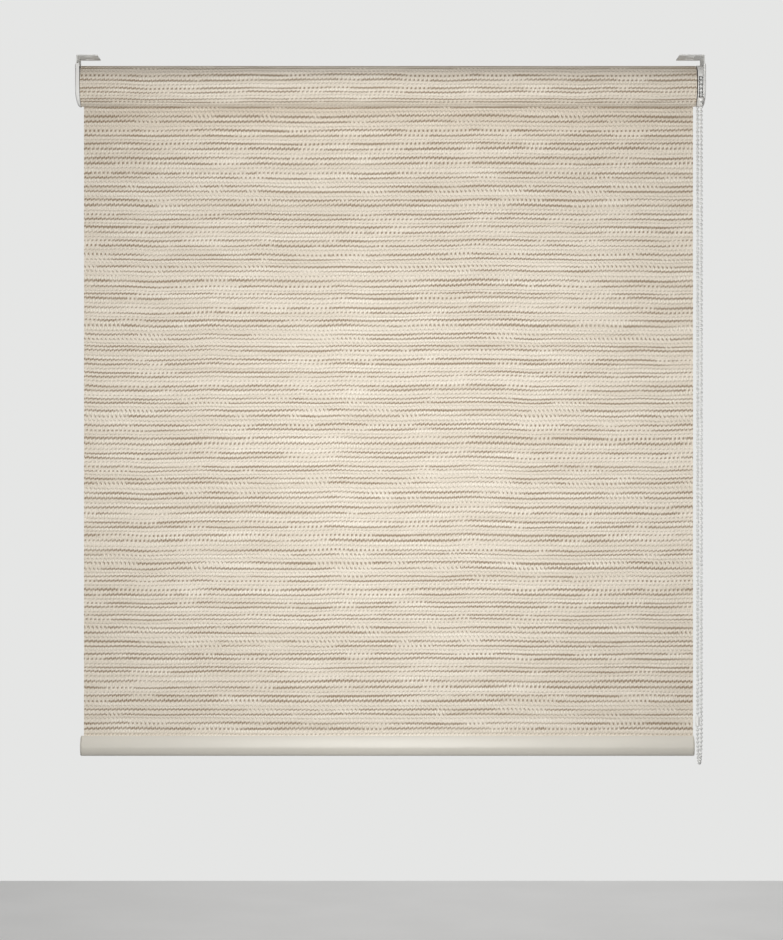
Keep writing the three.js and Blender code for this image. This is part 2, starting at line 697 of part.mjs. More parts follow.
/** The right-hand end cap: a rounded face and a tenon. */
function barCap() {
  const x0 = CLOTH_RIGHT + GAP;
  const geometry = new THREE.ExtrudeGeometry(barOutline(CAP_BEVEL, CAP_BEVEL), {
    depth: 2 * (CAP_THICKNESS - CAP_BEVEL),
    bevelThickness: CAP_BEVEL,
    bevelSize: CAP_BEVEL,
    bevelSegments: 2,
    curveSegments: 6,
  });
  const turn = new THREE.Matrix4().makeBasis(
    new THREE.Vector3(0, 1, 0),
    new THREE.Vector3(0, 0, 1),
    new THREE.Vector3(1, 0, 0),
  );
  const pill = solid(geometry.applyMatrix4(turn)).translate([x0 - CAP_THICKNESS + CAP_BEVEL, 0, 0]);
  const reach = 2 * BAR_HEIGHT;
  const outside = block([x0, -reach, -reach], [x0 + reach, reach, reach]);
  const tenon = barCavity(x0 - CAP_TENON_LENGTH, x0 + 0.5, GAP);
  return pill.intersect(outside).add(tenon);
}

function barCaps() {
  const right = barCap();
  const middle = (BAR_LEFT + CLOTH_RIGHT) / 2;
  const left = mirrored(right).translate([2 * middle, 0, 0]);
  return [
    node("bar_cap_left", onBar(left), FINISH.barPlastic),
    node("bar_cap_right", onBar(right), FINISH.barPlastic),
  ];
}

// ----------------------------------------------------------------------------- the chain
/** The chain's centreline: over the wheel, down the front, round the foot, up the back. */
function chainRoute() {
  const split = GAP / 2 / PITCH_RADIUS; // its two ends meet over the top of the wheel
  const bendTop = -CHAIN_BOTTOM_DROP + CHAIN_BEND_DEPTH;
  const at = (y, z) => new THREE.Vector3(CHAIN_PLANE, y, z);
  const onWheel = (angle) =>
    at(PITCH_RADIUS * Math.cos(angle), PITCH_RADIUS * Math.sin(angle) - AXIS_DROP);
  const onBend = (angle) =>
    at(PITCH_RADIUS * Math.cos(angle), bendTop + CHAIN_BEND_DEPTH * Math.sin(angle));
  const quarter = Math.PI / 2;
  const wheelSteps = 10;
  const runSteps = 6;
  const bendSteps = 16;
  const over = (from, to, steps, place) =>
    Array.from({ length: steps }, (_, i) => place(from + ((to - from) * i) / steps));
  const run = (y, from, to) => over(from, to, runSteps, (z) => at(y, z));
  return [
    ...over(quarter + split, 2 * quarter, wheelSteps, onWheel),
    ...run(-PITCH_RADIUS, -AXIS_DROP, bendTop),
    ...over(2 * quarter, 4 * quarter, bendSteps, onBend),
    ...run(PITCH_RADIUS, bendTop, -AXIS_DROP),
    ...over(0, quarter - split, wheelSteps, onWheel),
    onWheel(quarter - split),
  ];
}

function beadChain() {
  return node("bead_chain", wire(chainRoute(), BEAD_RADIUS, 8), FINISH.chainPlastic);
}

/** A closed [z, radius] profile turned about an upright line on one run of the chain. */
function onRun(profile, y, drop, sides = 16) {
  const points = [...profile, profile[0]].map(([z, r]) => new THREE.Vector2(r, z));
  const geometry = new THREE.LatheGeometry(points, sides).rotateX(Math.PI / 2);
  return solid(geometry.translate(CHAIN_PLANE, y, -drop));
}

/** The clip-on ball that meets the housing when the blind is fully down. */
function chainStop() {
  const bore = BEAD_RADIUS + RUNNING_GAP;
  const radius = BEAD_RADIUS + STOP_WALL;
  const reach = Math.acos(bore / radius);
  const steps = 8;
  const profile = Array.from({ length: steps + 1 }, (_, i) => {
    const angle = THREE.MathUtils.lerp(-reach, reach, i / steps);
    return [radius * Math.sin(angle), radius * Math.cos(angle)];
  });
  return node("chain_stop", onRun(profile, -PITCH_RADIUS, STOP_DROP), FINISH.whitePlastic);
}

/** The sleeve that joins the chain's two ends. */
function chainConnector() {
  const bore = BEAD_RADIUS + GAP;
  const radius = bore + CONNECTOR_WALL;
  const half = CONNECTOR_LENGTH / 2;
  const chamfer = CONNECTOR_WALL / 2;
  const profile = [
    [-half, bore],
    [-half, radius - chamfer],
    [-half + 2 * chamfer, radius],
    [half - 2 * chamfer, radius],
    [half, radius - chamfer],
    [half, bore],
  ];
  const body = onRun(profile, PITCH_RADIUS, CONNECTOR_DROP);
  return node("chain_connector", body, FINISH.whitePlastic);
}

// ------------------------------------------------------------------------------ assembly
const blind = new THREE.Group();
blind.add(idleBracket(), idleCover(), controlBracket(), controlCover());
blind.add(clothDrop(), bottomBar(), barSpline(), ...barCaps());
blind.add(beadChain(), chainStop(), chainConnector());

const aboutAxis = new THREE.Group(); // everything built about the roller's own axis
aboutAxis.position.set(0, 0, -AXIS_DROP);
aboutAxis.add(clutchHousing(), chainGuard(), clutchSpindle(), spindleWasher(), spindleScrew());
aboutAxis.add(wrapSpring("wrap_spring_inner", 0), wrapSpring("wrap_spring_outer", 1));
aboutAxis.add(chainWheel(), driveCore(), rollerTube(), tubeSpline(), clothRoll());
aboutAxis.add(idlePlug(), idlePin(), pinSpring(), idleBush());
blind.add(aboutAxis);

export default blind;
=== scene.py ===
"""A chain-driven roller blind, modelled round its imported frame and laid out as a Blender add-on.

Everything is in metres. +Z is up, +X is to the right and the room is on the -Y side.
"""

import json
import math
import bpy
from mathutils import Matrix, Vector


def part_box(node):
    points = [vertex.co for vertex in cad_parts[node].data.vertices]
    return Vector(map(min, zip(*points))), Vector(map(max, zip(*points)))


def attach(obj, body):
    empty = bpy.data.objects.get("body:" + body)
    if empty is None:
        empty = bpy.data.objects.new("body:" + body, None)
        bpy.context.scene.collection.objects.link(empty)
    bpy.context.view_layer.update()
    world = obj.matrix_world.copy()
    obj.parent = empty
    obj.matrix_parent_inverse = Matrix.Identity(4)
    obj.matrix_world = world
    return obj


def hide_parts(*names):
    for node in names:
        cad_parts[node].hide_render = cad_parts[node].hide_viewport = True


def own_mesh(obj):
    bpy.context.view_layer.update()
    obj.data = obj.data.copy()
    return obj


bl_info = {
    "name": "Roller blind",
    "version": (1, 0, 0),
    "blender": (4, 5, 0),
    "location": "View3D > Sidebar > Blind",
    "description": "Builds a chain-driven roller blind round its packed frame",
    "category": "Object",
}

from contextlib import contextmanager

import bmesh
import bpy
import numpy as np
from mathutils import Vector

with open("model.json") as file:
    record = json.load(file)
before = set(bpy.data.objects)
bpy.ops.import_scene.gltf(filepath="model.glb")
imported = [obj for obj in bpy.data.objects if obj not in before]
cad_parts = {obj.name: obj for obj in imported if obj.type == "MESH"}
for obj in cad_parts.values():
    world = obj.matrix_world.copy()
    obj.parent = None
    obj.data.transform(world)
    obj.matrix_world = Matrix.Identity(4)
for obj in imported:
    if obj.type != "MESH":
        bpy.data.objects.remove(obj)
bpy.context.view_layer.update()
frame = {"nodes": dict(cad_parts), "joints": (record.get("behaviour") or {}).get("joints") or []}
MM = 0.001


def span(node):
    """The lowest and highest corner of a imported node."""
    low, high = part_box(node)
    return Vector(low), Vector(high)


# --------------------------------------------------------------- places from the frame
ROLL_LOW, ROLL_HIGH = span("fabric_roll")
DROP_LOW, DROP_HIGH = span("fabric_drop")
BAR_LOW, BAR_HIGH = span("bottom_bar")
WHEEL_LOW, WHEEL_HIGH = span("chain_wheel")
CHAIN_LOW, CHAIN_HIGH = span("bead_chain")
AXIS_Z = (ROLL_LOW.z + ROLL_HIGH.z) / 2
ROLL_RADIUS = (ROLL_HIGH.z - ROLL_LOW.z) / 2
CLOTH_Y = (DROP_LOW.y + DROP_HIGH.y) / 2
CHAIN_X = (CHAIN_LOW.x + CHAIN_HIGH.x) / 2
LIFT = next(j["range_m"][1] for j in frame["joints"] if j["name"] == "bar_lift")


# ------------------------------------------------------------------------- properties
def length_property(name, description, default):
    return bpy.props.FloatProperty(
        name=name, description=description, default=default, unit="LENGTH",
    )


class BlindSizes(bpy.types.PropertyGroup):
    """The sizes that a maker of blinds would change."""

    rib_spacing: length_property("Rib spacing", "Brown yarn to brown yarn, on average", 6.5 * MM)
    rib_height: length_property("Rib height", "How far a rib stands above the brown yarns", 0.24 * MM)
    rib_waver: length_property("Rib waver", "How far the ribs stray from level", 1.3 * MM)
    stitch_pitch: length_property("Stitch pitch", "Stitch to stitch along a brown yarn", 6.1 * MM)
    cloth_core: length_property("Cloth thickness", "Thickness of the cloth in its grooves", 0.5 * MM)
    cloth_layer: length_property("Layer", "One turn of the cloth on the roll", 0.8 * MM)
    bead_pitch: length_property("Bead pitch", "Bead to bead along the chain", 6 * MM)
    bead_diameter: length_property("Bead diameter", "Diameter of one bead", 4.5 * MM)
    string_diameter: length_property(
        "String diameter", "The cord that the beads are moulded on", 1.5 * MM
    )
    chain_bend: length_property("Chain bend", "Height of the rounded foot of the chain's loop", 44 * MM)
    wheel_pockets: bpy.props.IntProperty(
        name="Wheel pockets", description="Pockets round the chain wheel", default=26, min=8,
    )
    edge_round: length_property(
        "Edge rounding", "Broken edges of the moulded and pressed pieces", 0.25 * MM
    )
    cover_round: length_property("Cover rounding", "Rounded edge of the bracket covers", 2.2 * MM)
    camera_distance: length_property("Camera distance", "Camera to the roller's axis", 4.2)
    picture_height: length_property("Picture height", "Height of the view at the roller's axis", 1.35)
    floor_drop: length_property("Floor drop", "Bracket feet to the floor", 1.45)


def colour_property(name, description, default):
    return bpy.props.FloatVectorProperty(
        name=name, description=description, default=default, subtype="COLOR", min=0, max=1,
    )


class BlindColours(bpy.types.PropertyGroup):
    """The colours of the blind's finishes."""

    cloth: colour_property("Cloth", "Ground yarn", (0.855, 0.785, 0.695))
    slub: colour_property("Slub", "Brown yarn between the ribs", (0.265, 0.185, 0.110))
    # Painted highlight: pale dots on the rib crests where the light catches the cloth.
    crest_highlight: colour_property("Crest highlight", "Pale stitches on the ribs", (0.980, 0.940, 0.850))
    white: colour_property("White", "Covers, housing and small mouldings", (0.930, 0.925, 0.915))
    coat: colour_property("Coat", "Powder coat on the brackets", (0.780, 0.780, 0.770))
    nylon: colour_property("Nylon", "Hidden mouldings", (0.560, 0.565, 0.570))
    zinc: colour_property("Zinc", "Pin, springs and screw", (0.600, 0.610, 0.630))
    aluminium: colour_property("Aluminium", "Roller tube", (0.720, 0.730, 0.740))
    bar: colour_property("Bar", "Paint on the bottom bar", (0.690, 0.655, 0.590))
    beads: colour_property("Beads", "Chain beads", (0.800, 0.805, 0.800))
    floor: colour_property("Floor", "Floor of the studio", (0.800, 0.800, 0.795))


def sizes():
    return bpy.context.scene.blind_sizes


def colours():
    return bpy.context.scene.blind_colours


def rgba(colour):
    return (*colour, 1.0)


# --------------------------------------------------------------------------- materials
class Field:
    """A shader socket whose arithmetic adds Math nodes."""

    def __init__(self, recipe, socket):
        self.recipe = recipe
        self.socket = socket

    def math(self, operation, *values):
        return self.recipe.node("ShaderNodeMath", {"operation": operation}, values)

    def __add__(self, other):
        return self.math("ADD", self, other)

    def __radd__(self, other):
        return self.math("ADD", other, self)

    def __sub__(self, other):
        return self.math("SUBTRACT", self, other)

    def __rsub__(self, other):
        return self.math("SUBTRACT", other, self)

    def __mul__(self, other):
        return self.math("MULTIPLY", self, other)

    def __rmul__(self, other):
        return self.math("MULTIPLY", other, self)

    def __truediv__(self, other):
        return self.math("DIVIDE", self, other)

    def __abs__(self):
        return self.math("ABSOLUTE", self)

    def rounded(self):
        return self.math("ROUND", self)

    def fraction(self):
        """0 to 1, again and again."""
        return self.math("FRACT", self)

    def wave(self):
        """0 to 1 and back, again and again."""
        return 1.0 - abs(self.fraction() - 0.5) * 2.0

    def clamped(self):
        """Held between 0 and 1."""
        return self.math("MINIMUM", self.math("MAXIMUM", self, 0.0), 1.0)

    def between(self, low, high, to_low=0.0, to_high=1.0):
        """This field's stretch from low to high, eased onto to_low to to_high."""
        settings = {"interpolation_type": "SMOOTHSTEP"}
        return self.recipe.node("ShaderNodeMapRange", settings, (self, low, high, to_low, to_high))


class Recipe:
    """One material, made node by node."""

    def __init__(self, name, **constants):
        self.material = bpy.data.materials.new(name)
        self.material.use_nodes = True
        self.tree = self.material.node_tree
        self.shader = self.tree.nodes["Principled BSDF"]
        for socket, value in constants.items():
            self.shader.inputs[socket.replace("_", " ")].default_value = value

    def node(self, kind, settings=None, inputs=(), output=0):
        """Adds a node, sets it up, fills its sockets and gives one of its outputs."""
        made = self.tree.nodes.new(kind)
        for key, value in (settings or {}).items():
            setattr(made, key, value)
        for key, value in inputs.items() if isinstance(inputs, dict) else enumerate(inputs):
            self.fill(made.inputs[key], value)
        return Field(self, made.outputs[output])

    def fill(self, socket, value):
        if isinstance(value, Field):
            self.tree.links.new(value.socket, socket)
        else:
            socket.default_value = value

    def coordinates(self, uv_map=None):
        """Object coordinates in metres, or a piece's own map, as three fields."""
        if uv_map:
            place = self.node("ShaderNodeUVMap", {"uv_map": uv_map})
        else:
            place = self.node("ShaderNodeTexCoord", output="Object")
        split = self.tree.nodes.new("ShaderNodeSeparateXYZ")
        self.fill(split.inputs[0], place)
        return [Field(self, out) for out in split.outputs]

    def vector(self, x, y, z=0.0):
        return self.node("ShaderNodeCombineXYZ", None, (x, y, z))

    def noise(self, vector, scale=1.0, detail=2.0, dimensions="3D"):
        settings = {"noise_dimensions": dimensions}
        return self.node(
            "ShaderNodeTexNoise", settings, {"Vector": vector, "Scale": scale, "Detail": detail}
        )

    def mix(self, factor, a, b, blend="MIX"):
        """Colour a towards colour b."""
        settings = {"data_type": "RGBA", "blend_type": blend}
        made = self.node("ShaderNodeMix", settings, output=2).socket.node
        self.fill(made.inputs[0], factor)
        self.fill(made.inputs[6], a)
        self.fill(made.inputs[7], b)
        return Field(self, made.outputs[2])

    def bump(self, height, distance):
        return self.node("ShaderNodeBump", None, {"Height": height, "Distance": distance})

    def finish(self, **fields):
        for socket, field in fields.items():
            self.fill(self.shader.inputs[socket.replace("_", " ")], field)
        return self.material


def cloth_finish():
    """A cream slub weave: pale ribs along the width, with wavering brown yarns between them.

    The piece's map holds metres along the width and, upwards, a count of brown yarns.
    """
    made = Recipe("slub cloth", Sheen_Weight=0.06, Sheen_Roughness=0.6, Specular_IOR_Level=0.2)
    across, yarns, _ = made.coordinates("cloth")
    stitch = across / sizes().stitch_pitch

    def streaks(per_metre, row, step, detail):
        """Noise that changes per_metre times along the width, and by a step from row to row."""
        place = made.vector(across * per_metre, row * step)
        return made.noise(place, dimensions="2D", detail=detail)

    # Each brown yarn wanders, and slants a little within each stitch.
    near = yarns.rounded()
    stray = streaks(7.0, near, 3.71, 1.0)
    slant = (stitch + near * 0.37).fraction() - 0.5
    lean = slant * 0.31 * stray.between(0.30, 0.55, 0.6, 1.0)
    wander = yarns + lean + (stray - 0.5) * 0.5
    number = wander.rounded()
    fibre = streaks(1400.0, yarns, 3.1, 3.0)
    off = abs(wander - number) + (fibre - 0.5) * 0.10

    # One yarn in three is thin. Each swells, shrinks and breaks up into dots along its way.
    thin = 1.0 - abs(number.math("FLOORED_MODULO", number, 3.0) - 2.0).between(0.0, 0.5)
    pick = streaks(5.0, number, 5.13, 3.0)
    ply = streaks(34.0, number, 2.9, 2.0)
    width = 0.085 + 0.105 * (1.0 - thin * 0.7) * pick.between(0.15, 0.60) + 0.05 * ply
    line = 1.0 - ((off - width) / 0.10 + 0.5).clamped()
    broken = streaks(13.0, number, 8.3, 2.0)
    dots = (stitch + number * 0.31).wave().between(0.30, 0.62)
    run = broken.between(0.39, 0.46) * (1.0 - thin * 0.6)
    line = line * (run + (1.0 - run) * dots)
    line = line * (1.0 - thin * 0.35) * pick.between(0.22, 0.50, 0.72, 1.0)
    half_stitch = (stitch * 2.0 + number * 0.21).fraction()
    twist = abs(half_stitch - 0.5).between(0.10, 0.40, 0.62, 1.0)
    line = line * ply.between(0.25, 0.6, 0.78, 1.0) * twist

    # Painted highlights stand on the rib crests here and there, as pale stitch dots where the light
    # catches them.
    rib = yarns.math("FLOOR", yarns)
    crest = (0.5 - abs(yarns - near)).between(0.36, 0.12)
    place = streaks(11.0, rib, 6.1, 1.0)
    highlight_dots = (stitch * 1.5 + rib * 0.43).wave().between(0.35, 0.95)
    crest_highlight = crest * highlight_dots * place.between(0.54, 0.68)

    weave = streaks(700.0, yarns, 2.4, 2.0)
    warp = streaks(520.0, yarns, 0.4, 1.0)
    slow = streaks(6.0, yarns, 0.045, 2.0)
    band = streaks(3.0, yarns, 0.9, 2.0)
    tint = rgba(colours().cloth)
    for field, dark, light in (
        (slow, (0.97, 0.965, 0.96), (1.0, 1.0, 1.0)),
        (band, (0.94, 0.93, 0.91), (1.02, 1.02, 1.02)),
        (weave, (0.86, 0.85, 0.83), (1.05, 1.05, 1.05)),
    ):
        tone = made.mix(field.between(0.3, 0.7), rgba(dark), rgba(light))
        tint = made.mix(1.0, tint, tone, "MULTIPLY")
    # Mix in the painted highlight on the rib crests.
    tint = made.mix(crest_highlight * 0.65, tint, rgba(colours().crest_highlight))
    tint = made.mix(line * 0.95, tint, rgba(colours().slub))

    height = weave * 0.25 + warp * 0.2 + crest_highlight * 0.5 - line * 0.8
    return made.finish(
        Base_Color=tint,
        Roughness=weave.between(0.2, 0.8, 0.78, 0.96),
        Normal=made.bump(height, 0.25 * MM),
    )


def speckled(name, colour, roughness, grain, bump=0.02 * MM, stretch=1.0, mottle=0.05, **constants):
    """A made surface with a fine grain, slow changes of tone and an uneven sheen.

    stretch above 1 draws the grain out along the blind, as a die does.
    """
    made = Recipe(name, **constants)
    x, y, z = made.coordinates()
    place = made.vector(x / stretch, y, z)
    fine = made.noise(place, scale=1 / grain, detail=3.0)
    slow = made.noise(place, scale=1 / (grain * 40), detail=2.0)
    low = rgba(tuple(c * (1 - mottle) for c in colour))
    high = rgba(tuple(min(1.0, c * (1 + mottle / 2)) for c in colour))
    tint = made.mix(slow.between(0.3, 0.7), low, high)
    dimmed = made.mix(1.0, tint, rgba((1 - mottle * 0.6,) * 3), "MULTIPLY")
    tint = made.mix(fine.between(0.3, 0.7), dimmed, tint)
    shine = fine * 0.12 + slow * 0.14 + (roughness - 0.13)
    return made.finish(Base_Color=tint, Roughness=shine, Normal=made.bump(fine, bump))


def finishes():
    """Every material by name, made once."""
    if "slub cloth" not in bpy.data.materials:
        c = colours()
        cloth_finish()
        speckled("powder coat", c.coat, 0.42, 0.9 * MM, bump=0.03 * MM, Coat_Weight=0.15)
        speckled("white moulding", c.white, 0.34, 1.2 * MM, bump=0.008 * MM, mottle=0.03)
        speckled("gloss moulding", c.white, 0.22, 1.2 * MM, bump=0.006 * MM, mottle=0.02, Coat_Weight=0.7)
        speckled("nylon moulding", c.nylon, 0.55, 0.8 * MM, bump=0.02 * MM, mottle=0.08)
        speckled("zinc plate", c.zinc, 0.33, 0.5 * MM, mottle=0.12, Metallic=1.0)
        speckled("extrusion", c.aluminium, 0.36, 0.4 * MM, stretch=60.0, mottle=0.08, Metallic=1.0)
        speckled("bar paint", c.bar, 0.40, 1.1 * MM, bump=0.012 * MM, stretch=4.0, mottle=0.025)
        speckled("bar moulding", c.bar, 0.48, 1.3 * MM, bump=0.01 * MM, mottle=0.04)
        speckled("bead moulding", c.beads, 0.30, 0.7 * MM, bump=0.006 * MM, mottle=0.06)
    return bpy.data.materials


# ------------------------------------------------------------------------ mesh helpers
def add_object(name, mesh, material):
    """A new piece at the origin with one material."""
    mesh.materials.clear()
    mesh.materials.append(finishes()[material])
    made = bpy.data.objects.new(name, mesh)
    bpy.context.scene.collection.objects.link(made)
    return made


@contextmanager
def edited(mesh):
    """A mesh opened for editing, and written back afterwards."""
    form = bmesh.new()
    form.from_mesh(mesh)
    yield form
    form.to_mesh(mesh)
    form.free()


LEAST_FLAT = 25 * MM * MM
MOST_SPREAD = 60  # a perimeter squared over its area, which is 16 for a square


def is_flat(face):
    """Whether a face is a flat of its own rather than one strip of a rounded surface."""
    area = face.calc_area()
    around = sum(edge.calc_length() for edge in face.edges)
    compact = around * around < MOST_SPREAD * area
    return len(face.verts) > 4 or (area > LEAST_FLAT and compact)


def crease(form, angle):
    """Keeps edges crisp where the faces beside them meet at an angle or more."""
    limit = math.radians(angle)
    for edge in form.edges:
        if len(edge.link_faces) == 2:
            edge.smooth = edge.calc_face_angle() < limit


def sharpen(mesh, angle):
    """Creases a mesh that is smooth all over."""
    with edited(mesh) as form:
        crease(form, angle)


def mesh_from_bmesh(name, form, smooth_below=30.0):
    """A mesh smoothed wherever its faces meet at less than an angle, except on its flats."""
    form.normal_update()
    for face in form.faces:
        face.smooth = not is_flat(face)
    crease(form, smooth_below)
    mesh = bpy.data.meshes.new(name)
    form.to_mesh(mesh)
    form.free()
    return mesh


def grid_mesh(name, points, closed_rows, closed_columns, maps=None):
    """A mesh over points[row, column]. maps gives a (u, v) for each row and column index."""
    rows, columns, _ = points.shape
    row = np.arange(rows if closed_rows else rows - 1)
    column = np.arange(columns if closed_columns else columns - 1)
    r, c = (a.ravel() for a in np.meshgrid(row, column, indexing="ij"))
    corners = [(r, c), (r, c + 1), (r + 1, c + 1), (r + 1, c)]
    faces = np.stack([(a % rows) * columns + b % columns for a, b in corners], axis=1)
    mesh = bpy.data.meshes.new(name)
    mesh.from_pydata(points.reshape(-1, 3).tolist(), [], faces.tolist())
    if maps is not None:
        layer = mesh.uv_layers.new(name="cloth")
        values = np.stack([maps(a, b) for a, b in corners], axis=1)
        layer.data.foreach_set("uv", values.reshape(-1).astype(np.float32))
    mesh.polygons.foreach_set("use_smooth", [True] * len(mesh.polygons))
    return mesh


def outward(mesh):
    """Turns every face of a closed mesh outwards."""
    with edited(mesh) as form:
        bmesh.ops.recalc_face_normals(form, faces=form.faces)
    return mesh


def bridge(form, low, high):
    """Joins two closed loops of vertices with a band of faces."""
    count = len(low)
    for i in range(count):
        j = (i + 1) % count
        form.faces.new((low[i], low[j], high[j], high[i]))


def lathe(name, profile, centre, axis="X", segments=64, smooth_below=30.0):
    """A closed (along, radius) profile turned about a line through centre."""
    form = bmesh.new()
    rings = []
    for along, radius in profile:
        ring = []
        for i in range(segments):
            turn = 2 * math.pi * i / segments
            a, b = radius * math.cos(turn), radius * math.sin(turn)
            place = (along, a, b) if axis == "X" else (a, b, along)
            ring.append(form.verts.new(Vector(centre) + Vector(place)))
        rings.append(ring)
    for low, high in zip(rings, rings[1:] + rings[:1]):
        bridge(form, low, high)
    bmesh.ops.remove_doubles(form, verts=form.verts, dist=1e-7)
    bmesh.ops.recalc_face_normals(form, faces=form.faces)
    return mesh_from_bmesh(name, form, smooth_below)


def extruded(name, outlines, x0, x1, smooth_below=30.0):
    """Closed (y, z) outlines, the first outside and the rest holes, carried along X."""
    form = bmesh.new()
    ends = ([], [])
    for outline in outlines:
        loops = [[form.verts.new((x, y, z)) for y, z in outline] for x in (x0, x1)]
        bridge(form, *loops)
        count = len(outline)
        for end, loop in zip(ends, loops):
            end.extend(form.edges.get((loop[i], loop[(i + 1) % count])) for i in range(count))
    for end in ends:
        bmesh.ops.triangle_fill(form, edges=end, use_beauty=True)
    bmesh.ops.recalc_face_normals(form, faces=form.faces)
    return mesh_from_bmesh(name, form, smooth_below)


def refined(node, body, slot, material, sharp_edges=None, bend=0.0):
    """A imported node's shape with its edges broken, to stand in for it.

    sharp_edges picks edges that are bent metal, which get the larger radius of bend.
    """
    form = bmesh.new()
    form.from_mesh(frame["nodes"][node].data)
    bmesh.ops.remove_doubles(form, verts=form.verts, dist=1e-6)
    flat = math.radians(0.4)
    bmesh.ops.dissolve_limit(form, angle_limit=flat, verts=form.verts, edges=form.edges)
    if sharp_edges:
        bent = [e for e in form.edges if sharp_edges(e.verts[0].co, e.verts[1].co)]
        break_edges(form, bent, bend, 6)
    limit = math.radians(40)
    creases = [e for e in form.edges if len(e.link_faces) == 2 and e.calc_face_angle() > limit]
    break_edges(form, creases, sizes().edge_round, 2)
    mesh = mesh_from_bmesh(node + "_form", form, 24.0)
    return settle(add_object(node + "_form", mesh, material), body, slot, node)


def break_edges(form, edges, radius, segments):
    bmesh.ops.bevel(
        form, geom=edges, offset=radius, segments=segments, profile=0.5,
        affect="EDGES", clamp_overlap=True,
    )


def settle(piece, body, slot, *nodes):
    """Puts a piece on its body and hides the nodes that it stands for."""
    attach(piece, body)
    if nodes:
        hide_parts(*nodes)
    return piece


def keep(node, material):
    """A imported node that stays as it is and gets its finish."""
    piece = frame["nodes"][node]
    piece.data.materials.clear()
    piece.data.materials.append(finishes()[material])


# ---------------------------------------------------------------------- geometry nodes
class Tree:
    """A Geometry Nodes tree with named inputs that ends in one material."""

    def __init__(self, name):
        self.tree = bpy.data.node_groups.new(name, "GeometryNodeTree")
        self.tree.interface.new_socket("Geometry", in_out="OUTPUT", socket_type="NodeSocketGeometry")
        self.tree.interface.new_socket("Geometry", in_out="INPUT", socket_type="NodeSocketGeometry")
        self.values = {}
        self.group_in = self.tree.nodes.new("NodeGroupInput")
        self.group_out = self.tree.nodes.new("NodeGroupOutput")

    def input(self, name, kind, value):
        """A named input of the tree, as a socket to plug in."""
        socket = self.tree.interface.new_socket(name, in_out="INPUT", socket_type=kind)
        self.values[socket.identifier] = value
        return self.group_in.outputs[name]

    def length(self, name, value):
        return self.input(name, "NodeSocketFloat", value)

    def count(self, name, value):
        return self.input(name, "NodeSocketInt", value)

    def geometry(self):
        return self.group_in.outputs["Geometry"]

    def add(self, kind, settings=None, output=0, **inputs):
        """A node whose sockets are filled by name, with _ for a space."""
        made = self.tree.nodes.new("GeometryNode" + kind)
        for key, value in (settings or {}).items():
            setattr(made, key, value)
        for key, value in inputs.items():
            socket = made.inputs[key.replace("_", " ")]
            for one in value if isinstance(value, list) else [value]:
                if isinstance(one, bpy.types.NodeSocket):
                    self.tree.links.new(one, socket)
                else:
                    socket.default_value = one
        return made.outputs[output]

    def run(self, shape, name, base, material):
        """Ends the tree in a shape, applies it to a base mesh and gives a plain piece."""
        real = self.add("RealizeInstances", Geometry=shape)
        smooth = self.add("SetShadeSmooth", Geometry=real)
        chosen = self.input("Material", "NodeSocketMaterial", finishes()[material])
        done = self.add("SetMaterial", Geometry=smooth, Material=chosen)
        self.tree.links.new(done, self.group_out.inputs["Geometry"])
        holder = bpy.data.objects.new(name + "_base", base)
        bpy.context.scene.collection.objects.link(holder)
        modifier = holder.modifiers.new("nodes", "NODES")
        modifier.node_group = self.tree
        for identifier, value in self.values.items():
            modifier[identifier] = value
        bpy.context.view_layer.update()
        graph = bpy.context.evaluated_depsgraph_get()
        mesh = bpy.data.meshes.new_from_object(holder.evaluated_get(graph), depsgraph=graph)
        holder.modifiers.remove(modifier)
        bpy.data.objects.remove(holder)
        mesh.name = name
        return add_object(name, mesh, material)


def coil(name, node, body, wire, turns):
    """A round-wire spring in the place of a packed one."""
    low, high = span(node)
    radius = (high.y - low.y) / 2 - wire / 2
    tree = Tree(name)
    radius_in = tree.length("Coil radius", radius)
    spiral = tree.add(
        "CurveSpiral",
        Resolution=28,
        Rotations=tree.length("Turns", turns),
        Start_Radius=radius_in,
        End_Radius=radius_in,
        Height=tree.length("Length", high.x - low.x - wire),
    )
    section = tree.add("CurvePrimitiveCircle", Resolution=10, Radius=tree.length("Wire", wire / 2))
    body_mesh = tree.add("CurveToMesh", Curve=spiral, Profile_Curve=section, Fill_Caps=True)
    laid = tree.add(
        "Transform",
        Geometry=body_mesh,
        Rotation=(0.0, math.pi / 2, 0.0),
        Translation=(low.x + wire / 2, 0.0, AXIS_Z),
    )
    piece = tree.run(laid, name, bpy.data.meshes.new(name + "_seed"), "zinc plate")
    return settle(piece, body, "steel", node)


# ------------------------------------------------------------------------------- cloth
RIB_ROWS = 4  # rows of faces from one brown yarn to the next, on the hanging cloth
ROLL_RIB_ROWS = 8  # and on the roll, where they are seen end on
COLUMNS = 84
DROP_WRAP = math.radians(32)  # how much of the roll the hanging cloth still lies on


def waver(x, y, seed):
    """A slow stray from level that changes along the cloth, between about -1 and 1."""
    generator = np.random.default_rng(seed)
    total = np.zeros(np.broadcast(x, y).shape)
    for length in (0.61, 0.34, 0.19, 0.105, 0.062):
        a, b, drift = generator.uniform(0, 2 * math.pi, 3)
        fall = generator.uniform(5, 14)
        share = (length / 0.61) ** 0.45
        total += share * np.sin(2 * math.pi * x / length + a + 0.8 * np.sin(fall * y + drift) + b)
    return total / 2.2


def yarn_places(length, count, seed):
    """Places along a length of cloth that are unevenly spaced, from 0 to length."""
    generator = np.random.default_rng(seed)
    steps = 1 + 0.22 * generator.uniform(-1, 1, count)
    steps[::3] *= 1.18
    places = np.concatenate(([0.0], np.cumsum(steps)))
    return places * length / places[-1]


def rib_rows(places):
    """Row places and yarn counts, with RIB_ROWS rows from one brown yarn to the next."""
    count = np.arange((len(places) - 1) * RIB_ROWS + 1) / RIB_ROWS
    return np.interp(count, np.arange(len(places)), places), count


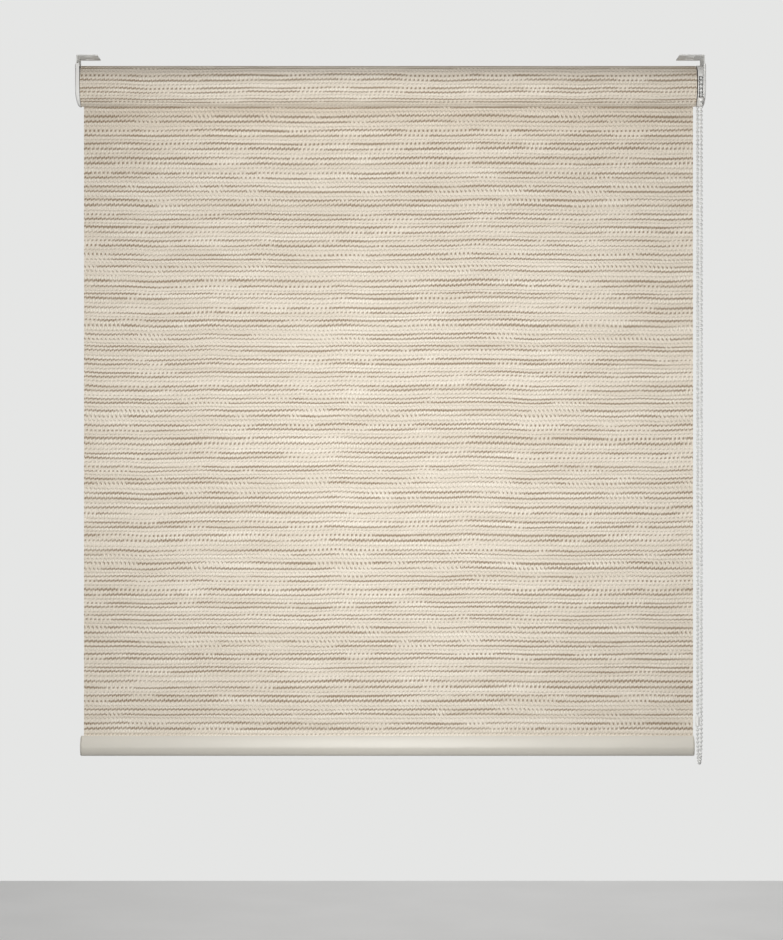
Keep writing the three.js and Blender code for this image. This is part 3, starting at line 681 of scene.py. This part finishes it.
class BLIND_OT_cloth_drop(bpy.types.Operator):
    """Hang the cloth from the back of the roll down into the bar"""

    bl_idname = "blind.cloth_drop"
    bl_label = "Hanging cloth"

    def execute(self, context):
        s = sizes()
        turn_radius = CLOTH_Y
        arc = DROP_WRAP * turn_radius
        length = arc + (DROP_HIGH.z - DROP_LOW.z)
        places, count = rib_rows(yarn_places(length, round(length / s.rib_spacing), seed=11))
        x = np.linspace(DROP_LOW.x, DROP_HIGH.x, COLUMNS)
        path, across = np.meshgrid(places, x, indexing="ij")
        ease = np.sin(np.pi * np.clip(path / length, 0, 1)) ** 0.5
        path = np.clip(path + s.rib_waver * ease * waver(across, path, 5), 0, length)
        angle = np.clip(DROP_WRAP - path / turn_radius, 0, None)
        drop = np.clip(path - arc, 0, None)
        rib = 0.5 - 0.5 * np.cos(2 * np.pi * count)[:, None]
        taper = np.clip(path / arc, 0.02, 1.0)
        half = (s.cloth_core / 2 + s.rib_height * rib) * taper
        hang = drop / drop.max()
        sway = 0.8 * MM * np.sin(np.pi * hang) * waver(across * 0.4, drop * 0.7, 23)
        fray = 0.12 * MM * np.sin(4000 * path + 3) * np.sin(1700 * path)
        across = across + np.where(np.arange(COLUMNS) % (COLUMNS - 1) == 0, 1.0, 0.0) * fray
        inner = ROLL_RADIUS + (turn_radius - ROLL_RADIUS) * taper
        reach = np.where(angle > 0, inner, turn_radius)

        def face(offset):
            y = (reach + offset) * np.cos(angle) + sway
            z = AXIS_Z + (reach + offset) * np.sin(angle) - drop
            return np.stack([across, y, z], axis=-1)

        front, back = face(-half), face(half)
        sheet = np.concatenate([front, back[::-1]], axis=0)
        rows = len(count)
        v = np.concatenate([count, count[::-1]])

        def maps(row, column):
            return np.stack([x[column], v[row % (2 * rows)]], axis=-1)

        mesh = grid_mesh("cloth_drop", sheet, True, False, maps)
        with edited(mesh) as form:
            for side in (0, COLUMNS - 1):
                self.close_side(form, side, rows)
            bmesh.ops.recalc_face_normals(form, faces=form.faces)
        piece = add_object("cloth_drop", mesh, "slub cloth")
        settle(piece, "brackets", "cloth", "fabric_drop")
        full = AXIS_Z - DROP_LOW.z
        (full - LIFT) / full
        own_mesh(piece)
        return {"FINISHED"}

    def close_side(self, form, side, rows):
        """Joins the front of the sheet to its back along one cut edge."""
        form.verts.ensure_lookup_table()
        layer = form.loops.layers.uv.active
        for row in range(rows - 1):
            mirror = 2 * rows - 1 - row
            corners = (row, row + 1, mirror - 1, mirror)
            verts = [form.verts[r * COLUMNS + side] for r in corners]
            if len(set(verts)) < 4:
                continue
            made = form.faces.new(verts)
            made.smooth = False
            for edge in made.edges:
                edge.smooth = False
            for loop, r in zip(made.loops, corners):
                source = next(l for l in loop.vert.link_loops if l.face is not made)
                loop[layer].uv = source[layer].uv


class BLIND_OT_cloth_roll(bpy.types.Operator):
    """Wind the rest of the cloth round the tube"""

    bl_idname = "blind.cloth_roll"
    bl_label = "Wound cloth"

    def execute(self, context):
        s = sizes()
        low, high = span("fabric_roll")
        yarns = round(2 * math.pi * ROLL_RADIUS / s.rib_spacing)
        places = yarn_places(2 * math.pi, yarns, seed=31)
        count = np.arange(yarns * ROLL_RIB_ROWS) / ROLL_RIB_ROWS
        angle = np.interp(count, np.arange(len(places)), places)
        rib = 0.5 - 0.5 * np.cos(2 * np.pi * count)
        x = np.linspace(low.x, high.x, COLUMNS)
        ang, across = np.meshgrid(angle, x, indexing="ij")
        ang = ang + s.rib_waver / ROLL_RADIUS * waver(across, ang * ROLL_RADIUS, 41)
        radius = ROLL_RADIUS + s.rib_height * (rib[:, None] - 0.6)
        skin = np.stack(
            [across, radius * np.cos(ang), AXIS_Z + radius * np.sin(ang)], axis=-1
        )
        tube_radius = span("roller_tube")[1].y + 0.3 * MM
        right = self.layers(angle, high.x, 1, tube_radius)
        left = self.layers(angle, low.x, -1, tube_radius)[:, ::-1]
        points = np.concatenate([skin, right, left], axis=1)
        total = points.shape[1]
        flat_x = np.concatenate([x, np.full(right.shape[1], high.x), np.full(left.shape[1], low.x)])
        wide = np.append(count, yarns)

        def maps(row, column):
            return np.stack([flat_x[column % total], wide[row]], axis=-1)

        mesh = outward(grid_mesh("cloth_roll", points, True, True, maps))
        sharpen(mesh, 50.0)
        settle(add_object("cloth_roll", mesh, "slub cloth"), "roller", "cloth", "fabric_roll")
        return {"FINISHED"}

    def layers(self, angle, end, side, inner):
        """The edges of the turns at one end of the roll, from the outside in."""
        generator = np.random.default_rng(7 if side > 0 else 8)
        layer = sizes().cloth_layer
        rings = []
        radius = ROLL_RADIUS
        while radius - layer > inner:
            a, b = generator.uniform(0, 2 * math.pi, 2)
            stray = 0.18 * MM * (np.sin(angle + a) + 0.6 * np.sin(3 * angle + b))
            shrink = layer * angle / (2 * math.pi)
            for inset, depth in ((0.08, 0.25), (0.22, 0.0), (0.78, 0.0), (0.98, 0.9)):
                r = radius - inset * layer - shrink * (radius < ROLL_RADIUS)
                along = end + side * (stray - 0.2 * MM - depth * layer)
                rings.append((along, np.maximum(r, inner)))
            radius -= layer
        rings.append((np.full_like(angle, end - side * 1.2 * MM), np.full_like(angle, inner)))
        stack = [
            np.stack([along, r * np.cos(angle), AXIS_Z + r * np.sin(angle)], axis=-1)
            for along, r in rings
        ]
        return np.stack(stack, axis=1)


# -------------------------------------------------------------------------- bottom bar
BAR_LIP = 2.2 * MM  # half the thickness of the bar's top
BAR_BELLY = 0.58  # where the bar is thickest, as a share of its height from the top
BAR_HOLLOW_DROP = 10.5 * MM  # top of the bar to the top of its hollow
BAR_WALL = 1.3 * MM
BAR_MOUTH = 0.9 * MM  # half the width of the slot that the cloth goes into
BAR_CHANNEL = 2.5 * MM  # radius of the channel that the cloth's rod lies in
BAR_CHANNEL_DROP = 6 * MM  # top of the bar to the middle of the channel
CAP_GAP = 0.3 * MM
CAP_TENON = 11 * MM
CAP_SHOULDER = 11 * MM  # height over which a cap slopes in towards the cloth


def bezier(p0, p1, p2, p3, steps):
    """Points along a cubic curve, without its last."""
    p0, p1, p2, p3 = (np.array(p) for p in (p0, p1, p2, p3))
    t = np.linspace(0, 1, steps, endpoint=False)[:, None]
    u = 1 - t
    curve = u**3 * p0 + 3 * u * u * t * p1 + 3 * u * t * t * p2 + t**3 * p3
    return [tuple(p) for p in curve]


def bar_half(height, wide, lip, steps=14):
    """The front half of the bar's teardrop, from its lip round to its foot."""
    belly = -BAR_BELLY * height
    flare = (lip + 2.2 * MM, -4 * MM)
    upper = bezier((lip, 0), flare, (wide - 0.3 * MM, belly + 6 * MM), (wide, belly), steps)
    lower = bezier(
        (wide, belly), (wide - 0.5 * MM, belly - 4.6 * MM), (wide - 4.2 * MM, -height),
        (0, -height), steps,
    )
    return upper + lower


def bar_outline(inset=0.0, slot=True):
    """The bar's outline about its lip's middle, as (y, z) points."""
    height = BAR_HIGH.z - BAR_LOW.z
    front = bar_half(height - inset, (BAR_HIGH.y - BAR_LOW.y) / 2 - inset, BAR_LIP)
    if inset:
        front = [(y, z) for y, z in front if z < -BAR_HOLLOW_DROP]
    rear = [(-y, z) for y, z in reversed(front) if y > 0]
    foot = [(0.0, -height + inset)]
    notch = []
    if slot:
        start = math.acos(BAR_MOUTH / BAR_CHANNEL)
        channel = [
            (BAR_CHANNEL * math.cos(a), BAR_CHANNEL * math.sin(a) - BAR_CHANNEL_DROP)
            for a in np.linspace(math.pi - start, 2 * math.pi + start, 17)
        ]
        edge = [(BAR_MOUTH, -0.3 * MM), (BAR_MOUTH + 0.4 * MM, 0.0)]
        notch = [(-y, z) for y, z in reversed(edge)] + channel + edge
    return front + foot + rear + notch


def placed(outline):
    return [(CLOTH_Y + y, BAR_HIGH.z + z) for y, z in outline]


class BLIND_OT_bottom_bar(bpy.types.Operator):
    """Make the teardrop bar, its end caps and the rod inside it"""

    bl_idname = "blind.bottom_bar"
    bl_label = "Bottom bar"

    def execute(self, context):
        hollow = placed(bar_outline(inset=BAR_WALL, slot=False))
        outlines = [placed(bar_outline()), hollow]
        rail = extruded("bar_rail", outlines, BAR_LOW.x, BAR_HIGH.x, 18.0)
        settle(add_object("bar_rail", rail, "bar paint"), "bar", "bar_paint", "bottom_bar")
        left, right = span("bar_cap_left")[0].x, span("bar_cap_right")[1].x
        self.cap("bar_end_left", BAR_LOW.x, left, "bar_cap_left")
        self.cap("bar_end_right", BAR_HIGH.x, right, "bar_cap_right")
        keep("bar_spline", "nylon moulding")
        return {"FINISHED"}

    def cap(self, name, inner, outer, node):
        """A domed end whose shoulders slope in towards the cloth, with a tenon behind."""
        side = 1 if outer > inner else -1
        face = inner + side * CAP_GAP
        thick = abs(outer - face)
        outline = np.array(bar_outline(slot=False))
        centre = np.array([0.0, -0.56 * (BAR_HIGH.z - BAR_LOW.z)])
        rings = [(0.97, 0.0), (1.0, 0.12)]
        rings += [(1 - 0.16 * (1 - math.cos(a)), 0.12 + 0.80 * math.sin(a))
                  for a in np.linspace(0.2, math.pi / 2, 7)]
        rings += [(0.55, 0.96), (0.2, 1.0)]
        form = bmesh.new()
        loops = []
        for scale, share in rings:
            loop = []
            for point in outline:
                y, z = centre + (point - centre) * scale
                shoulder = 1 - 0.55 * max(0.0, 1 + z / CAP_SHOULDER) ** 1.5
                x = face + side * thick * share * shoulder
                loop.append(form.verts.new((x, CLOTH_Y + y, BAR_HIGH.z + z)))
            loops.append(loop)
        for low, high in zip(loops, loops[1:]):
            bridge(form, low, high)
        form.faces.new(loops[-1])
        form.faces.new(list(reversed(loops[0])))
        bmesh.ops.remove_doubles(form, verts=form.verts, dist=1e-7)
        plug = placed(bar_outline(inset=BAR_WALL + 0.4 * MM, slot=False))
        tenon = extruded(name + "_tenon", [plug], face, face - side * CAP_TENON)
        form.from_mesh(tenon)
        bpy.data.meshes.remove(tenon)
        bmesh.ops.recalc_face_normals(form, faces=form.faces)
        mesh = mesh_from_bmesh(name, form, 35.0)
        settle(add_object(name, mesh, "bar moulding"), "bar", "bar_plastic", node)


# -------------------------------------------------------------------- brackets, covers
class BLIND_OT_brackets(bpy.types.Operator):
    """Press the two brackets, with a rounded bend at each foot"""

    bl_idname = "blind.brackets"
    bl_label = "Brackets"

    def execute(self, context):
        for node in ("idle_bracket", "control_bracket"):
            low, high = span(node)
            outer = low.x if abs(low.x) > abs(high.x) else high.x

            def is_bend(a, b):
                return all(abs(p.x - outer) < 1e-5 and abs(p.z) < 1e-5 for p in (a, b))

            refined(node, "brackets", "white_steel", "powder coat", is_bend, 1.7 * MM)
        return {"FINISHED"}


class BLIND_OT_covers(bpy.types.Operator):
    """Mould the domed covers over the two brackets"""

    bl_idname = "blind.covers"
    bl_label = "Covers"

    def execute(self, context):
        self.cover("idle_shell", "idle_cover", side=-1, taper=2.6 * MM, plate_share=0.45)
        self.cover("control_shell", "control_cover", side=1, taper=1.2 * MM, plate_share=0.7)
        return {"FINISHED"}

    def outline(self, radius, top, inset, points=72):
        """A flat top with a half-round foot about the roller's axis, drawn in by inset."""
        r = radius - inset
        upright = [(r, z) for z in np.linspace(top - inset, AXIS_Z, 8)[:-1]]
        arc = [(r * math.cos(a), AXIS_Z - r * math.sin(a)) for a in np.linspace(0, math.pi, points)]
        left = [(-y, z) for y, z in reversed(upright)]
        return upright + arc + left

    def cover(self, name, node, side, taper, plate_share):
        """A shell that leans in by its taper below a share of its radius under the axis."""
        low, high = span(node)
        radius = (high.y - low.y) / 2
        outer, rim = (high.x, low.x) if side > 0 else (low.x, high.x)
        start = AXIS_Z - radius * plate_share
        wall = 1.0 * MM
        rounding = min(sizes().cover_round, abs(outer - rim) - 0.5 * MM)

        def lean(z):
            down = max(0.0, (start - z) / (start - (AXIS_Z - radius)))
            return side * taper * down ** 2

        def shell(offset):
            rings = [(rim, offset)]
            edge = rounding - offset
            for a in np.linspace(0, math.pi / 2, 7):
                inset = offset + edge * (1 - math.cos(a))
                rings.append((outer - side * (offset + edge * (1 - math.sin(a))), inset))
            for share in (0.3, 0.55, 0.8):
                rings.append((outer - side * offset, rounding + share * (radius - rounding)))
            return rings

        form = bmesh.new()
        skins = []
        for offset in (0.0, wall):
            loops = []
            for x, inset in shell(offset):
                points = self.outline(radius, high.z, inset)
                near = abs(x - rim) < 1e-9
                loop = [
                    form.verts.new((x if near else x - lean(z), y, z)) for y, z in points
                ]
                loops.append(loop)
            for a, b in zip(loops, loops[1:]):
                bridge(form, a, b)
            form.faces.new(loops[-1])
            skins.append(loops)
        bridge(form, skins[1][0], skins[0][0])
        bmesh.ops.recalc_face_normals(form, faces=form.faces)
        mesh = mesh_from_bmesh(name, form, 28.0)
        settle(add_object(name, mesh, "gloss moulding"), "brackets", "white_plastic", node)


# ------------------------------------------------------------------------- chain drive
GROOVE_CLEARANCE = 0.25 * MM
POCKET_CLEARANCE = 0.35 * MM
WHEEL_FLANGE = 0.55 * MM  # side of a bead to the wheel's inner face
STOP_CLEARANCE = 0.35 * MM
JOINER_CLEARANCE = 0.3 * MM


class BLIND_OT_chain_wheel(bpy.types.Operator):
    """Turn the chain wheel and sink a pocket in its rim for each bead"""

    bl_idname = "blind.chain_wheel"
    bl_label = "Chain wheel"

    def execute(self, context):
        s = sizes()
        bead = s.bead_diameter / 2
        pitch_radius = s.wheel_pockets * s.bead_pitch / (2 * math.pi)
        rim = (WHEEL_HIGH.z - WHEEL_LOW.z) / 2
        groove = bead + GROOVE_CLEARANCE
        reach = math.acos((pitch_radius - rim) / groove)
        dip = [
            (CHAIN_X + groove * math.sin(a), pitch_radius - groove * math.cos(a))
            for a in np.linspace(reach, -reach, 15)
        ]
        inner = CHAIN_X - bead - WHEEL_FLANGE
        bearing, bore, hub = 5.35 * MM, 7.2 * MM, 11 * MM
        land = 4 * MM
        soft = 0.25 * MM
        end, out = WHEEL_LOW.x, WHEEL_HIGH.x
        profile = [
            (out, bearing), (out, rim - soft), (out - soft, rim), *dip,
            (inner + soft, rim), (inner, rim - soft), (inner, hub), (end + soft, hub),
            (end, hub - soft), (end, bearing), (end + land, bearing), (end + land, bore),
            (out - land, bore), (out - land, bearing),
        ]
        base = lathe("wheel_blank", profile, (0, 0, AXIS_Z), segments=104)
        tree = Tree("wheel pockets")
        ring = tree.add(
            "MeshCircle",
            Vertices=tree.count("Pockets", s.wheel_pockets),
            Radius=tree.length("Pitch radius", pitch_radius),
        )
        upright = tree.add(
            "Transform", Geometry=ring, Rotation=(0.0, math.pi / 2, 0.0),
            Translation=(CHAIN_X, 0.0, AXIS_Z),
        )
        pocket = tree.add(
            "MeshUVSphere", Segments=14, Rings=9,
            Radius=tree.length("Pocket radius", bead + POCKET_CLEARANCE),
        )
        cutters = tree.add("InstanceOnPoints", Points=upright, Instance=pocket)
        solid = tree.add("RealizeInstances", Geometry=cutters)
        cut = tree.add(
            "MeshBoolean", {"operation": "DIFFERENCE", "solver": "EXACT"},
            Mesh_1=tree.geometry(), Mesh_2=solid,
        )
        piece = tree.run(cut, "pocket_wheel", base, "nylon moulding")
        sharpen(piece.data, 40.0)
        settle(piece, "roller", "grey_nylon", "chain_wheel")
        return {"FINISHED"}


class BLIND_OT_clutch(bpy.types.Operator):
    """Fit the clutch: housing, guard, spindle, springs, washer, screw and drive core"""

    bl_idname = "blind.clutch"
    bl_label = "Clutch"

    def execute(self, context):
        refined("clutch_housing", "brackets", "white_plastic", "white moulding")
        refined("chain_guard", "brackets", "white_plastic", "white moulding")
        refined("clutch_spindle", "brackets", "grey_nylon", "nylon moulding")
        refined("spindle_washer", "brackets", "steel", "zinc plate")
        refined("spindle_screw", "brackets", "steel", "zinc plate")
        refined("drive_core", "roller", "grey_nylon", "nylon moulding")
        for name in ("wrap_spring_inner", "wrap_spring_outer"):
            coil(name + "_wire", name, "brackets", wire=1.5 * MM, turns=5.0)
        return {"FINISHED"}


# ---------------------------------------------------------------------- tube, idle end
class BLIND_OT_roller_tube(bpy.types.Operator):
    """Extrude the roller tube and lay the cloth's strip in its keyway"""

    bl_idname = "blind.roller_tube"
    bl_label = "Roller tube"

    def execute(self, context):
        refined("roller_tube", "roller", "aluminium", "extrusion")
        keep("tube_spline", "nylon moulding")
        return {"FINISHED"}


class BLIND_OT_idle_end(bpy.types.Operator):
    """Fit the idle end: plug, bush, sprung pin and its spring"""

    bl_idname = "blind.idle_end"
    bl_label = "Idle end"

    def execute(self, context):
        refined("idle_plug", "roller", "grey_nylon", "nylon moulding")
        refined("idle_bush", "brackets", "grey_nylon", "nylon moulding")
        refined("idle_pin", "plunger", "steel", "zinc plate")
        spring = coil("pin_spring_wire", "pin_spring", "roller", wire=1.0 * MM, turns=9.0)
        low, high = span("pin_spring")
        length = high.x - low.x
        push = next(j["range_m"][1] for j in frame["joints"] if j["name"] == "pin_retract")
        1 - push / length
        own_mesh(spring)
        return {"FINISHED"}


# --------------------------------------------------------------------------- the chain
def chain_route(arc_steps=26, run_steps=6, bend_steps=16):
    """The loop over the wheel, down the front, round its foot and up the back."""
    radius = CHAIN_HIGH.y - sizes().bead_diameter / 2
    foot = CHAIN_LOW.z + sizes().bead_diameter / 2
    bend = sizes().chain_bend
    bend_top = foot + bend

    def arc(z, rise, start, steps, share=0.5):
        """Part of a half turn about a height, without its last point."""
        for i in range(steps):
            a = math.pi * (start + share * i / steps)
            yield radius * math.cos(a), z + rise * math.sin(a)

    def fall(y, z0, z1):
        for i in range(run_steps):
            yield y, z0 + (z1 - z0) * i / run_steps

    places = [
        *arc(AXIS_Z, radius, 0.5, arc_steps),
        *fall(-radius, AXIS_Z, bend_top),
        *arc(bend_top, bend, 1.0, bend_steps, share=1.0),
        *fall(radius, bend_top, AXIS_Z),
        *arc(AXIS_Z, radius, 0.0, arc_steps),
    ]
    places.append(places[0])
    return [Vector((CHAIN_X, y, z)) for y, z in places]


class BLIND_OT_bead_chain(bpy.types.Operator):
    """Thread the beads on their string, with the stop bead and the connector"""

    bl_idname = "blind.bead_chain"
    bl_label = "Bead chain"

    def execute(self, context):
        s = sizes()
        route = chain_route()
        fine = chain_route(arc_steps=60, bend_steps=90)[:-1]
        length = sum((b - a).length for a, b in zip(fine, fine[1:] + fine[:1]))
        beads = round(length / s.bead_pitch)
        base = bpy.data.meshes.new("chain_line")
        count = len(fine)
        base.from_pydata(fine, [(i, (i + 1) % count) for i in range(count)], [])

        tree = Tree("beads on a string")
        line = tree.add("MeshToCurve", Mesh=tree.geometry())
        spaced = tree.add("ResampleCurve", Curve=line, Count=tree.count("Beads", beads))
        bead = tree.add(
            "MeshUVSphere", Segments=10, Rings=6,
            Radius=tree.length("Bead radius", s.bead_diameter / 2),
        )
        string = tree.length("String radius", s.string_diameter / 2)
        threaded = tree.add("InstanceOnPoints", Points=spaced, Instance=bead)
        section = tree.add("CurvePrimitiveCircle", Resolution=6, Radius=string)
        core = tree.add("CurveToMesh", Curve=spaced, Profile_Curve=section)
        joined = tree.add("JoinGeometry", Geometry=[threaded, core])
        piece = tree.run(joined, "beads_on_string", base, "bead moulding")
        settle(piece, "brackets", "chain_plastic", "bead_chain")

        stop = self.stop_ball()
        joiner = self.joiner()
        tuple(route[0])
        [tuple(p) for p in route]
        return {"FINISHED"}

    def stop_ball(self):
        """Two clipped half shells with a seam between them."""
        low, high = span("chain_stop")
        centre = (low + high) / 2
        ball = (high.x - low.x) / 2
        bore = sizes().bead_diameter / 2 + STOP_CLEARANCE
        reach = math.acos(bore / ball)
        profile = []
        for a in np.linspace(-reach, reach, 25):
            seam = 0.22 * MM * math.exp(-((a / 0.06) ** 2))
            profile.append(((ball - seam) * math.sin(a), (ball - seam) * math.cos(a)))
        mesh = lathe("stop_ball", profile, centre, axis="Z", segments=40)
        piece = add_object("stop_ball", mesh, "white moulding")
        return settle(piece, "stop_bead", "white_plastic", "chain_stop")

    def joiner(self):
        """A sleeve with rounded lips and a waist round its middle."""
        low, high = span("chain_connector")
        centre = (low + high) / 2
        outer = (high.x - low.x) / 2
        half = (high.z - low.z) / 2
        bore = sizes().bead_diameter / 2 + JOINER_CLEARANCE
        lip = (outer - bore) / 2
        profile = [(-half, bore + 0.04 * MM)]
        for a in np.linspace(-math.pi / 2, 0, 5):
            profile.append((-half + lip * (1 + math.sin(a)), outer - lip + lip * math.cos(a)))
        for t in np.linspace(-0.8, 0.8, 17):
            waist = 0.16 * MM * math.exp(-((t / 0.16) ** 2))
            profile.append((t * half, outer - waist))
        for a in np.linspace(0, math.pi / 2, 5):
            profile.append((half - lip * (1 - math.sin(a)), outer - lip + lip * math.cos(a)))
        profile += [(half, bore + 0.04 * MM), (half - 0.3 * MM, bore), (-half + 0.3 * MM, bore)]
        mesh = lathe("chain_joiner", profile, centre, axis="Z", segments=32)
        piece = add_object("chain_joiner", mesh, "white moulding")
        return settle(piece, "connector", "white_plastic", "chain_connector")


# ------------------------------------------------------------------------------- stage
PICTURE_X = 1.4 * MM
PICTURE_Z = -0.593
FLOOR_REACH = 1.9
SURROUND_SEEN = 0.79  # how bright the surround looks to the camera
SURROUND_CAST = 0.14  # and how strongly it lights the blind


class BLIND_OT_stage(bpy.types.Operator):
    """Set the camera, the studio lights and a pale floor"""

    bl_idname = "blind.stage"
    bl_label = "Studio"

    def execute(self, context):
        s = sizes()
        scene = context.scene
        camera = bpy.data.objects.new("camera", bpy.data.cameras.new("camera"))
        scene.collection.objects.link(camera)
        camera.location = (PICTURE_X, -s.camera_distance, PICTURE_Z)
        camera.rotation_euler = (math.pi / 2, 0, 0)
        camera.data.sensor_width = 36
        camera.data.lens = 36 * s.camera_distance / s.picture_height
        camera.data.clip_end = 60
        scene.camera = camera

        scene.view_settings.view_transform = "Standard"
        self.surround(scene)

        self.light("glow", (0.0, -1.1, -0.58), (0.3, 0.95), 12.6, (0.995, 1.0, 0.98))
        self.light("key", (-1.5, -2.6, 1.3), (1.4, 1.4), 7.2, (1.0, 0.93, 0.86))
        self.light("fill", (2.4, -2.2, 1.2), (1.6, 1.6), 9.0, (1.0, 0.93, 0.86))
        self.light("rim", (0.6, 2.6, 1.0), (2.0, 1.2), 45.0, (1.0, 1.0, 1.0))
        self.light("top", (0.0, 1.2, 2.4), (3.0, 2.0), 30.0, (1.0, 1.0, 1.0))

        mesh = bpy.data.meshes.new("floor")
        with edited(mesh) as form:
            bmesh.ops.create_grid(form, x_segments=2, y_segments=2, size=FLOOR_REACH)
            bmesh.ops.translate(form, verts=form.verts, vec=(0, 0, -s.floor_drop))
        speckled("studio floor", colours().floor, 0.7, 6 * MM, mottle=0.02)
        floor = add_object("floor", mesh, "studio floor")
        floor.visible_diffuse = False
        return {"FINISHED"}

    def surround(self, scene):
        """A pale surround that looks brighter than it shines."""
        world = bpy.data.worlds.new("studio")
        world.use_nodes = True
        tree = world.node_tree
        background = tree.nodes["Background"]
        background.inputs["Color"].default_value = (0.995, 1.0, 0.99, 1)
        path = tree.nodes.new("ShaderNodeLightPath")
        strength = tree.nodes.new("ShaderNodeMapRange")
        tree.links.new(path.outputs["Is Camera Ray"], strength.inputs["Value"])
        strength.inputs["To Min"].default_value = SURROUND_CAST
        strength.inputs["To Max"].default_value = SURROUND_SEEN
        tree.links.new(strength.outputs["Result"], background.inputs["Strength"])
        scene.world = world

    def light(self, name, place, size, power, colour):
        """A soft rectangular lamp aimed at the middle of the blind."""
        data = bpy.data.lights.new(name, "AREA")
        data.shape = "RECTANGLE"
        data.size, data.size_y = size
        data.energy = power
        data.color = colour
        lamp = bpy.data.objects.new(name, data)
        bpy.context.scene.collection.objects.link(lamp)
        lamp.location = place
        lamp.visible_camera = False
        lamp.visible_glossy = name not in ("rim", "top")
        aim = Vector((0, 0, -0.5)) - Vector(place)
        lamp.rotation_euler = aim.to_track_quat("-Z", "Y").to_euler()


# --------------------------------------------------------------------------- interface
STEPS = (
    BLIND_OT_stage,
    BLIND_OT_bead_chain,
    BLIND_OT_cloth_roll,
    BLIND_OT_bottom_bar,
    BLIND_OT_cloth_drop,
    BLIND_OT_brackets,
    BLIND_OT_covers,
    BLIND_OT_chain_wheel,
    BLIND_OT_clutch,
    BLIND_OT_roller_tube,
    BLIND_OT_idle_end,
)


class BLIND_PT_panel(bpy.types.Panel):
    """Lists the blind's pieces in the order they are made"""

    bl_label = "Roller blind"
    bl_space_type = "VIEW_3D"
    bl_region_type = "UI"
    bl_category = "Blind"

    def draw(self, context):
        for step in STEPS:
            self.layout.operator(step.bl_idname)
        for group in (context.scene.blind_sizes, context.scene.blind_colours):
            box = self.layout.box()
            for name in group.__annotations__:
                box.prop(group, name)


CLASSES = (BlindSizes, BlindColours, *STEPS, BLIND_PT_panel)


def register():
    for one in CLASSES:
        bpy.utils.register_class(one)
    bpy.types.Scene.blind_sizes = bpy.props.PointerProperty(type=BlindSizes)
    bpy.types.Scene.blind_colours = bpy.props.PointerProperty(type=BlindColours)


def unregister():
    del bpy.types.Scene.blind_colours
    del bpy.types.Scene.blind_sizes
    for one in reversed(CLASSES):
        bpy.utils.unregister_class(one)


def main():
    register()
    for step in STEPS:
        group, name = step.bl_idname.split(".")
        getattr(getattr(bpy.ops, group), name)()


if __name__ == "__main__":
    main()
